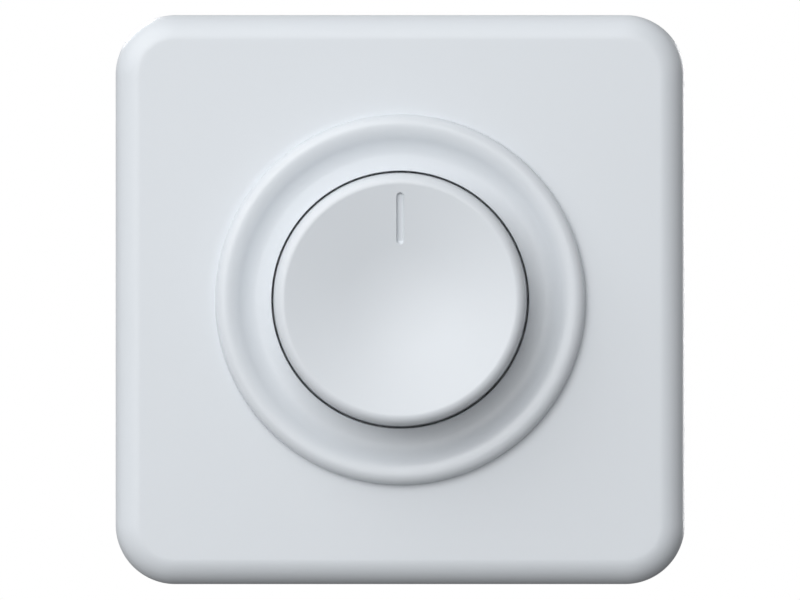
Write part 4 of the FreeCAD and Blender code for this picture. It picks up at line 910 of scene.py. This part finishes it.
    @staticmethod
    def turned(piece: bpy.types.Object, name: str, angle: float) -> bpy.types.Object:
        """A copy with a mesh of its own, turned about the Y axis.

        Args:
            piece: The piece worked on.
            name: Name of the new piece.
            angle: The turn, in radians.

        Returns:
            The copy.
        """
        Bench.hold(piece)
        bpy.ops.object.duplicate(linked=False)
        copy = bpy.context.object
        copy.name = name
        copy.rotation_euler = (0, angle, 0)
        Bench.settle(copy)
        return copy

    @staticmethod
    def smooth(piece: bpy.types.Object, angle: float = 32) -> None:
        """Smooths the shading up to an angle and keeps the broad flat faces flat.

        Args:
            piece: The piece worked on.
            angle: Largest angle that is smoothed, in degrees.
        """
        Bench.hold(piece)
        bpy.ops.object.shade_smooth_by_angle(angle=math.radians(angle))
        Bench.modify(piece, "WEIGHTED_NORMAL", keep_sharp=True, weight=80)


class Dresser:
    """Gives the pieces their finishes and ties them to the CAD model."""

    def __init__(self) -> None:
        """Makes a material for each slot as it is first needed."""
        self.made: dict[str, bpy.types.Material] = {}
        self.slot_of = {part["node"]: part["material_slot"] for part in frame["record"]["subparts"]}
        self.body_of = {node: body for body, nodes in frame["record"]["behaviour"]["bodies"].items()
                        for node in nodes}

    def material(self, finish: Finish) -> bpy.types.Material:
        """The material of a finish, made once.

        Args:
            finish: The finish to wear.

        Returns:
            The material.
        """
        if finish.name not in self.made:
            self.made[finish.name] = finish.material()
        return self.made[finish.name]

    def coat(self, piece: bpy.types.Object, finish: Finish) -> None:
        """Gives the whole piece one material."""
        piece.data.materials.clear()
        piece.data.materials.append(self.material(finish))

    def stand_in(self, piece: bpy.types.Object, node: str) -> None:
        """Puts a finished piece in the place of a CAD node.

        Args:
            piece: The piece worked on.
            node: The CAD node's name.
        """
        self.coat(piece, FINISHES[self.slot_of[node]])
        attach(piece, self.body_of[node])
        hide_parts(node)
        LOG.info("%s stands for %s: %d faces", piece.name, node, len(piece.data.polygons))

    def dress_nodes(self) -> None:
        """Gives every CAD node that still shows the finish of its slot."""
        for name, node in frame["nodes"].items():
            if node.hide_render:
                continue
            self.coat(node, SPECIAL.get(name) or FINISHES[self.slot_of[name]])
            LOG.info("%s wears %s", name, node.data.materials[0].name)


@dataclass
class CoverFrame:
    """The square frame: a shell with a rolled edge, a collar, ribs and posts. Millimetres."""

    width: float = 86.0
    depth: float = 9.0
    corner: float = 9.0
    roll: float = 3.8
    wall: float = 2.1
    draft: float = 0.8
    opening: float = 25.0
    collar: float = 26.8
    collar_end: float = -1.2
    rib_offset: float = 14.0
    rib: float = 1.2
    rib_end: float = -3.2
    rib_reach: float = 0.85
    post: float = 1.5
    post_offset: float = 33.5
    post_end: float = -0.6
    notch: float = 3.4
    notch_middle: tuple[float, float] = (24.4, 7.5)
    notch_front: float = -3.7
    lap: float = 1.0

    def build(self, dresser: Dresser) -> None:
        """Builds the frame and puts it in the CAD node's place.

        Args:
            dresser: Gives the finish and ties the piece to the CAD model.
        """
        shell = self.shell()
        Bench.combine(shell, self.collar_ring(), "UNION")
        Bench.combine(shell, Bench.rod("bore", self.opening, (0, 0), (-12, 2), 256), "DIFFERENCE")
        Bench.combine(shell, self.stiffening(), "UNION")
        notch = Bench.rod("notch", self.notch, self.notch_middle, (self.notch_front, self.lap))
        Bench.combine(shell, Bench.around(notch, 4), "DIFFERENCE")
        Bench.tidy(shell, 1e-7)
        Bench.smooth(shell)
        dresser.stand_in(shell, "cover_frame")

    def shell(self) -> bpy.types.Object:
        """The rounded square with its rolled edge, as a wall of even thickness.

        Returns:
            The hollow shell, open at the back.
        """
        Bench.clear()
        bpy.ops.mesh.primitive_plane_add(size=self.width * MM, rotation=(math.pi / 2, 0, 0))
        piece = bpy.context.object
        piece.name = "cover_frame_shell"
        Bench.settle(piece)
        Bench.edit(piece, "VERT")
        bpy.ops.mesh.select_all(action="SELECT")
        bpy.ops.mesh.bevel(offset=self.corner * MM, segments=32, affect="VERTICES", clamp_overlap=False)
        bpy.ops.mesh.select_all(action="SELECT")
        bpy.ops.mesh.extrude_region_move(TRANSFORM_OT_translate={"value": (0, -self.depth * MM, 0)})
        shrink = 1 - self.depth * math.tan(math.radians(self.draft)) / (self.width / 2)
        bpy.ops.transform.resize(value=(shrink, 1, shrink), center_override=(0, -self.depth * MM, 0))
        front = -self.depth * MM
        Bench.done()
        mesh = Bench.edit(piece, "EDGE")
        Bench.pick(mesh, "edges", lambda a, b: abs(a.y - front) < 1e-6 and abs(b.y - front) < 1e-6)
        bpy.ops.mesh.bevel(offset=self.roll * MM, segments=20, affect="EDGES", clamp_overlap=False)
        Bench.done()
        mesh = Bench.edit(piece)
        Bench.pick(mesh, "faces", lambda middle, normal: abs(middle.y) < 1e-6)
        bpy.ops.mesh.delete(type="FACE")
        Bench.done()
        Bench.tidy(piece)
        self.face_outwards(piece)
        Bench.modify(piece, "SOLIDIFY", thickness=self.wall * MM, offset=-1, use_even_offset=True)
        return piece

    def face_outwards(self, piece: bpy.types.Object) -> None:
        """Turns the open shell over where its front looks into the wall.

        Args:
            piece: The piece worked on.
        """
        mesh = Bench.edit(piece)
        front = max(mesh.faces, key=lambda face: face.calc_area())
        if front.normal.y > 0:
            bpy.ops.mesh.select_all(action="SELECT")
            bpy.ops.mesh.flip_normals()
        Bench.done()

    def collar_ring(self) -> bpy.types.Object:
        """The ring that stands behind the opening.

        Returns:
            The ring, a little wider than its bore needs.
        """
        start = self.lap / 2 - self.depth
        inner = self.opening - self.lap
        ring = Round((inner, start)).to((self.collar, start), (self.collar, self.collar_end),
                                        (inner, self.collar_end))
        return Bench.lathe("collar", ring, 256)

    def stiffening(self) -> bpy.types.Object:
        """Eight ribs and four posts behind the face.

        Returns:
            All of them as one mesh.
        """
        start = math.sqrt(((self.opening + self.collar) / 2) ** 2 - self.rib_offset ** 2)
        end = self.width / 2 - self.wall * self.rib_reach
        top = -self.depth + self.wall / 2
        half = self.rib / 2
        ribs = [Bench.block("rib", (start, top, side * self.rib_offset - half),
                            (end, self.rib_end, side * self.rib_offset + half)) for side in (-1, 1)]
        rib = Bench.around(Bench.join(*ribs), 4)
        post = Bench.rod("post", self.post, (self.post_offset, self.post_offset), (top, self.post_end), 32)
        return Bench.join(rib, Bench.around(post, 4))


@dataclass
class CentreDish:
    """The round centre plate: a raised rim, a shallow floor and the knob's deep well. Millimetres."""

    hole: float = 5.15
    well: float = 19.4
    well_outside: float = 21.0
    well_front: float = -4.8
    boss_front: float = -3.3
    floor: float = -9.7
    under: float = -8.2
    spigot: tuple[float, float] = (23.1, 24.7)
    spigot_end: float = -6.5
    plate_front: float = -9.0
    outer: float = 27.9
    crest: tuple[float, float] = (26.4, -11.2)
    crease: tuple[float, float] = (24.2, -10.5125)
    floor_edge: float = 21.6
    lip: float = 0.06
    rib: float = 1.2
    lap: float = 0.8
    sink: float = 0.5

    def build(self, dresser: Dresser) -> None:
        """Builds the dish and puts it in the CAD node's place.

        Args:
            dresser: Gives the finish and ties the piece to the CAD model.
        """
        piece = Bench.lathe("centre_plate", self.outline(), 256)
        half = self.rib / 2
        rib = Bench.block("dish_rib", (self.well_outside - self.lap, self.under - self.sink, -half),
                          (self.spigot[0] + self.lap, self.under + self.rib, half))
        Bench.combine(piece, Bench.around(rib, 12), "UNION")
        Bench.tidy(piece, 1e-7)
        Bench.smooth(piece, 28)
        dresser.stand_in(piece, "centre_dish")

    def outline(self) -> Round:
        """The section from the hole outwards along the back, and back along the front.

        Returns:
            The closed section.
        """
        slope = (self.floor - self.crest[1]) / (self.crest[0] - self.floor_edge)
        sweep = (1 + slope * slope) / (2 * slope)
        rim = self.outer - self.crest[0]
        outline = Round((self.hole, self.well_front)).to(
            (self.hole, self.boss_front), (self.well_outside, self.boss_front),
            (self.well_outside, self.under), (self.spigot[0], self.under),
            (self.spigot[0], self.spigot_end), (self.spigot[1], self.spigot_end),
            (self.spigot[1], self.plate_front), (self.outer, self.plate_front),
            (self.outer, self.crest[1] + rim))
        outline.arc(self.crest, -rim, 14)
        outline.arc(self.crease, -sweep * (self.crest[0] - self.crease[0]), 14)
        outline.arc((self.floor_edge, self.floor), sweep * (self.crease[0] - self.floor_edge), 14)
        outline.to((self.well + self.lip, self.floor))
        outline.arc((self.well, self.floor + self.lip), -self.lip, 3)
        return outline.to((self.well, self.well_front))


@dataclass
class Knob:
    """The knob: a bevelled cup with a sloping face, a pointer groove, a hub and ribs. Millimetres."""

    front: float = -19.9
    face: float = 17.2
    radius: float = 18.9
    edge: float = 1.44
    slope: float = 8.5
    bowl: float = 8.5
    ceiling: float = -16.403
    foot_front: float = -10.4
    foot: float = 19.1
    draft: float = 0.1
    lip: float = 0.35
    skirt_end: float = -7.8
    inner: float = 17.2
    hub: float = 5.0
    hub_end: float = -10.3
    hole: float = 3.025
    flat: float = 1.525
    hole_front: float = -15.8
    rib: float = 1.2
    rib_end: float = -13.35
    mark: tuple[float, float] = (8.3, 16.1)
    mark_width: float = 1.13
    mark_depth: float = 0.45
    lap: float = 0.6
    sink: float = 0.4
    flat_lap: float = 0.5

    def build(self, dresser: Dresser) -> None:
        """Builds the knob and puts it in the CAD node's place.

        Args:
            dresser: Gives the finish and ties the piece to the CAD model.
        """
        piece = Bench.lathe("turning_knob", self.outline(), 256, closed=False)
        half = self.rib / 2
        rib = Bench.block("knob_rib", (self.hub - self.lap, self.ceiling - self.sink, -half),
                          (self.inner + self.lap, self.rib_end, half))
        Bench.combine(piece, Bench.around(rib, 6), "UNION")
        side = self.hole + self.flat_lap
        flat = Bench.block("d_flat", (-side, self.hole_front - self.sink, self.flat),
                           (side, self.hub_end, side))
        Bench.combine(piece, flat, "UNION")
        Bench.combine(piece, self.groove(), "DIFFERENCE")
        Bench.tidy(piece, 1e-7)
        Bench.smooth(piece, 28)
        dresser.stand_in(piece, "knob")

    def outline(self) -> Round:
        """The section from the axis over the face and down the side, then up the inside.

        Returns:
            The section, with both ends on the axis.
        """
        slope = math.radians(self.slope)
        bowl_round = self.bowl / math.sin(slope)
        bowl_edge = self.front + (self.face - self.bowl) * math.tan(slope)
        middle = bowl_edge + bowl_round * (1 - math.cos(slope))
        outline = Round((0, middle)).arc((self.bowl, bowl_edge), -bowl_round, 18)
        rim = self.radius - self.edge * (1 + math.sin(slope))
        crest = (rim, self.front + (self.face - rim) * math.tan(slope))
        for share in (0.25, 0.5, 0.75):
            outline.to((self.bowl + (crest[0] - self.bowl) * share,
                        bowl_edge + (crest[1] - bowl_edge) * share))
        outline.to(crest)
        outline.arc((self.radius, crest[1] + self.edge * math.cos(slope)), self.edge, 22)
        outline.to((self.radius + self.draft, self.foot_front), (self.foot, self.foot_front + self.lip),
                   (self.foot, self.skirt_end), (self.inner, self.skirt_end), (self.inner, self.ceiling),
                   (self.hub, self.ceiling), (self.hub, self.hub_end), (self.hole, self.hub_end),
                   (self.hole, self.hole_front), (0, self.hole_front))
        return outline

    def groove(self) -> bpy.types.Object:
        """The tool for the pointer: a round-ended bar with a rounded bottom, tilted with the face.

        Returns:
            The tool, in its place.
        """
        start, end = self.mark
        radius = self.mark_width / 2
        middle = (start + end) / 2
        face = self.front + (self.face - middle) * math.tan(math.radians(self.slope))
        bar = Bench.rod("groove", radius, (0, 0), (-2, self.mark_depth), 40)
        stretch = (end - start) / 2 - radius
        mesh = Bench.edit(bar, "VERT")
        for side in (-1, 1):
            bpy.ops.mesh.select_all(action="DESELECT")
            for vert in mesh.verts:
                vert.select_set(vert.co.z * side > 1e-7)
            bpy.ops.transform.translate(value=(0, 0, stretch * side * MM))
        Bench.done()
        mesh = Bench.edit(bar, "EDGE")
        bottom = self.mark_depth * MM
        Bench.pick(mesh, "edges", lambda a, b: abs(a.y - bottom) < 1e-7 and abs(b.y - bottom) < 1e-7)
        bpy.ops.mesh.bevel(offset=radius * 0.7 * MM, segments=5, affect="EDGES")
        bpy.ops.mesh.select_all(action="SELECT")
        bpy.ops.transform.translate(value=(0, face * MM, middle * MM))
        Bench.done()
        bar.location = (0, 0, 0)
        Bench.hold(bar)
        bpy.context.scene.cursor.location = (0, face * MM, middle * MM)
        bpy.ops.object.origin_set(type="ORIGIN_CURSOR")
        bar.rotation_euler = (math.radians(self.slope), 0, 0)
        Bench.settle(bar)
        bpy.context.scene.cursor.location = (0, 0, 0)
        return bar


@dataclass
class ClawScrew:
    """A pan-head machine screw with a cross recess and a real thread. Millimetres."""

    across: float = 24.4
    up: float = 7.5
    seat: float = -1.2
    head: float = 2.8
    height: float = 1.9
    shank: float = 1.5
    root: float = 1.2
    pitch: float = 0.5
    tip: float = 9.0
    arm: float = 1.68
    recess: float = 1.14
    taper: float = 0.7
    neck: float = 1.0
    thread_start: float = 0.3

    def build(self, dresser: Dresser) -> None:
        """Builds the right screw and a copy for the left, half a turn round.

        Args:
            dresser: Gives the finish and ties the piece to the CAD model.
        """
        screw = self.headed()
        Bench.combine(screw, self.thread(), "UNION")
        Bench.tidy(screw, 1e-7)
        screw.name = "claw_screw_threaded_right"
        Bench.edit(screw)
        bpy.ops.mesh.select_all(action="SELECT")
        bpy.ops.transform.translate(value=(self.across * MM, 0, self.up * MM))
        Bench.done()
        left = Bench.turned(screw, "claw_screw_threaded_left", math.pi)
        for piece, node in ((screw, "claw_screw_right"), (left, "claw_screw_left")):
            Bench.smooth(piece, 40)
            dresser.stand_in(piece, node)

    def headed(self) -> bpy.types.Object:
        """The turned head with its recess and a short neck.

        Returns:
            The head.
        """
        front = self.seat - self.height
        rounding = self.height / 2
        outline = Round((0, front)).to((self.head - rounding, front))
        outline.arc((self.head, front + rounding), rounding, 8)
        outline.to((self.head, self.seat), (self.root, self.seat), (self.root, self.seat + self.neck),
                   (0, self.seat + self.neck))
        piece = Bench.lathe("screw_head", outline, 48, closed=False)
        Bench.combine(piece, self.cross(front), "DIFFERENCE")
        return piece

    def cross(self, front: float) -> bpy.types.Object:
        """The tool for the cross recess, narrower at its bottom.

        Args:
            front: The head's front face.

        Returns:
            The tool, in its place.
        """
        half = self.head / 8
        tool = Bench.block("cross", (-half, front - 0.5, -half), (half, front + self.recess, half))
        mesh = Bench.edit(tool)
        Bench.pick(mesh, "faces", lambda middle, normal: abs(normal.y) < 0.5)
        bpy.ops.mesh.extrude_faces_move(
            TRANSFORM_OT_shrink_fatten={"value": (self.arm - half) * MM})
        mesh = bmesh.from_edit_mesh(tool.data)
        bottom = (front + self.recess) * MM
        Bench.pick(mesh, "faces", lambda middle, normal: abs(middle.y - bottom) < 1e-7)
        bpy.ops.transform.resize(value=(self.taper, 1, self.taper), center_override=(0, bottom, 0))
        Bench.done()
        Bench.tidy(tool)
        return tool

    def thread(self) -> bpy.types.Object:
        """One turn's outline screwed along the shank, cut square at both ends and capped.

        Returns:
            The threaded rod.
        """
        start = self.seat + self.thread_start
        turns = math.ceil((self.tip - start) / self.pitch) + 2
        first = start - self.pitch
        points = [(self.root, first), (self.shank, first + self.pitch * 0.4),
                  (self.shank, first + self.pitch * 0.55), (self.root, first + self.pitch)]
        piece = Bench.wire("thread", points, closed=False)
        Bench.done()
        Bench.modify(piece, "SCREW", axis="Y", angle=FULL_TURN, steps=28, render_steps=28,
                     iterations=turns, screw_offset=self.pitch * MM, use_merge_vertices=True,
                     merge_threshold=1e-6)
        Bench.tidy(piece)
        for depth, outwards in ((start, -1), (self.tip, 1)):
            Bench.edit(piece)
            bpy.ops.mesh.select_all(action="SELECT")
            bpy.ops.mesh.bisect(plane_co=(0, depth * MM, 0), plane_no=(0, outwards, 0), use_fill=True,
                                clear_outer=True)
            Bench.done()
        Bench.tidy(piece, 1e-7)
        return piece


@dataclass
class ReturnSpring:
    """The switch's coil spring, which shortens as the knob is pressed. Millimetres."""

    radius: float = 1.7
    wire: float = 0.4
    front: float = 16.6
    back: float = 21.6
    turns: int = 4
    travel: float = 2.0

    def build(self, dresser: Dresser) -> None:
        """Winds the wire, closes its ends, ties it to its body and gives it a mesh of its own.

        Args:
            dresser: Gives the finish and ties the piece to the CAD model.
        """
        half = self.wire / 2
        sides = 12
        section = [(self.radius + half * math.cos(FULL_TURN * side / sides),
                    self.front + half + half * math.sin(FULL_TURN * side / sides)) for side in range(sides)]
        piece = Bench.wire("coil_spring", section, closed=True)
        Bench.done()
        length = self.back - self.front
        Bench.modify(piece, "SCREW", axis="Y", angle=FULL_TURN, steps=36, render_steps=36,
                     iterations=self.turns, screw_offset=(length - self.wire) / self.turns * MM)
        Bench.edit(piece)
        bpy.ops.mesh.select_all(action="SELECT")
        bpy.ops.mesh.fill_holes(sides=0)
        Bench.done()
        Bench.tidy(piece, 1e-7)
        Bench.smooth(piece, 40)
        dresser.stand_in(piece, "switch_return_spring")
        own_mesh(piece)


@dataclass(frozen=True)
class Lamp:
    """A square soft lamp that shines on the object's middle."""

    name: str
    place: Step
    size: float
    power: float


@dataclass
class Studio:
    """The camera, the lamps, the world and the floor."""

    distance: float = 2.209
    view_width: float = 0.1205
    floor_drop: float = 0.25
    sky: tuple[float, float] = (0.12, 0.38)
    shine: tuple[float, float] = (0.1, 0.75)
    lamps: tuple[Lamp, ...] = (
        Lamp("key_lamp", (-1.383, -1.508, 1.602), 3.3, 42.0),
        Lamp("front_lamp", (-0.39, -1.48, 0.455), 1.4, 12.6),
        Lamp("rear_lamp_left", (-0.62, 1.25, 0.75), 0.6, 9.5),
        Lamp("rear_lamp_right", (0.75, 1.25, 0.15), 0.6, 5.0),
    )

    def build(self) -> None:
        """Sets up everything round the object."""
        self.camera()
        for lamp in self.lamps:
            self.lamp(lamp)
        self.world()
        self.floor()
        bpy.context.scene.view_settings.view_transform = "Standard"

    def camera(self) -> None:
        """A long lens, straight in front of the knob."""
        data = bpy.data.cameras.new("camera")
        data.sensor_width = 36
        data.lens = 36 * (self.distance - 0.009) / self.view_width
        data.clip_end = 100
        camera = bpy.data.objects.new("camera", data)
        bpy.context.scene.collection.objects.link(camera)
        camera.location = (-0.00003, -self.distance, -0.00006)
        camera.rotation_euler = (math.pi / 2, 0, 0)
        bpy.context.scene.camera = camera

    def lamp(self, lamp: Lamp) -> None:
        """One soft lamp that the camera doesn't see.

        Args:
            lamp: The lamp to make.
        """
        data = bpy.data.lights.new(lamp.name, "AREA")
        data.shape = "DISK"
        data.size = lamp.size
        data.energy = lamp.power
        made = bpy.data.objects.new(lamp.name, data)
        bpy.context.scene.collection.objects.link(made)
        made.location = lamp.place
        made.rotation_euler = Vector(lamp.place).to_track_quat("Z", "Y").to_euler()
        made.visible_camera = False

    def world(self) -> None:
        """White behind the object, and a sky that is paler at the top left than at the lower right."""
        world = bpy.data.worlds.new("studio")
        world.use_nodes = True
        bpy.context.scene.world = world
        graph = Graph(world.node_tree)
        ray = {name: graph.node("ShaderNodeLightPath", output=f"Is {name} Ray")
               for name in ("Camera", "Glossy", "Transmission")}
        towards = graph.node("ShaderNodeTexCoord", output="Generated")
        lean = graph.node("ShaderNodeVectorMath", {"operation": "DOT_PRODUCT"},
                          {0: towards, 1: (-0.55, -0.5, 0.67)}, "Value")
        share = lean * 0.5 + 0.5
        levels = [graph.mix(share, (low, low, low), (high, high, high * 1.01))
                  for low, high in (self.sky, self.shine)]
        seen = graph.mix(ray["Glossy"], *levels)
        colour = graph.mix(ray["Camera"].most(ray["Transmission"]), seen, (1, 1, 1))
        graph.close(graph.node("ShaderNodeBackground", None, {"Color": colour, "Strength": 1.0}),
                    "ShaderNodeOutputWorld")

    def floor(self) -> None:
        """A pale floor that keeps the shadow and fades to white far from the object."""
        Bench.clear()
        bpy.ops.mesh.primitive_plane_add(size=5, location=(0, 0, -self.floor_drop))
        floor = bpy.context.object
        floor.name = "studio_floor"
        floor.visible_diffuse = False
        floor.visible_glossy = False
        made = bpy.data.materials.new("pale floor")
        made.use_nodes = True
        graph = Graph(made.node_tree)
        x, y, _ = graph.parts()
        far = ((x * x + y * y - 0.16) / 2.2).most(0.0).least(1.0)
        seen = graph.node("ShaderNodeLightPath", output="Is Camera Ray")
        behind = graph.node("ShaderNodeNewGeometry", output="Backfacing")
        matt = graph.surface(Base_Color=(0.8, 0.8, 0.8), Roughness=0.7)
        glow = graph.node("ShaderNodeEmission", None, {"Color": (1, 1, 1, 1), "Strength": 1.0})
        clear = graph.node("ShaderNodeBsdfTransparent")
        graph.close(graph.either(seen * behind, graph.either(seen * far, matt, glow), clear))
        floor.data.materials.append(made)


def main() -> None:
    """Builds the pieces, dresses the CAD nodes and sets up the studio."""
    logging.basicConfig(level=logging.INFO, format="%(name)s: %(message)s")
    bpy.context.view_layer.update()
    dresser = Dresser()
    for part in (CoverFrame(), CentreDish(), Knob(), ClawScrew(), ReturnSpring()):
        part.build(dresser)
    dresser.dress_nodes()
    Studio().build()
    bpy.context.view_layer.update()


if __name__ == "__main__":
    main()
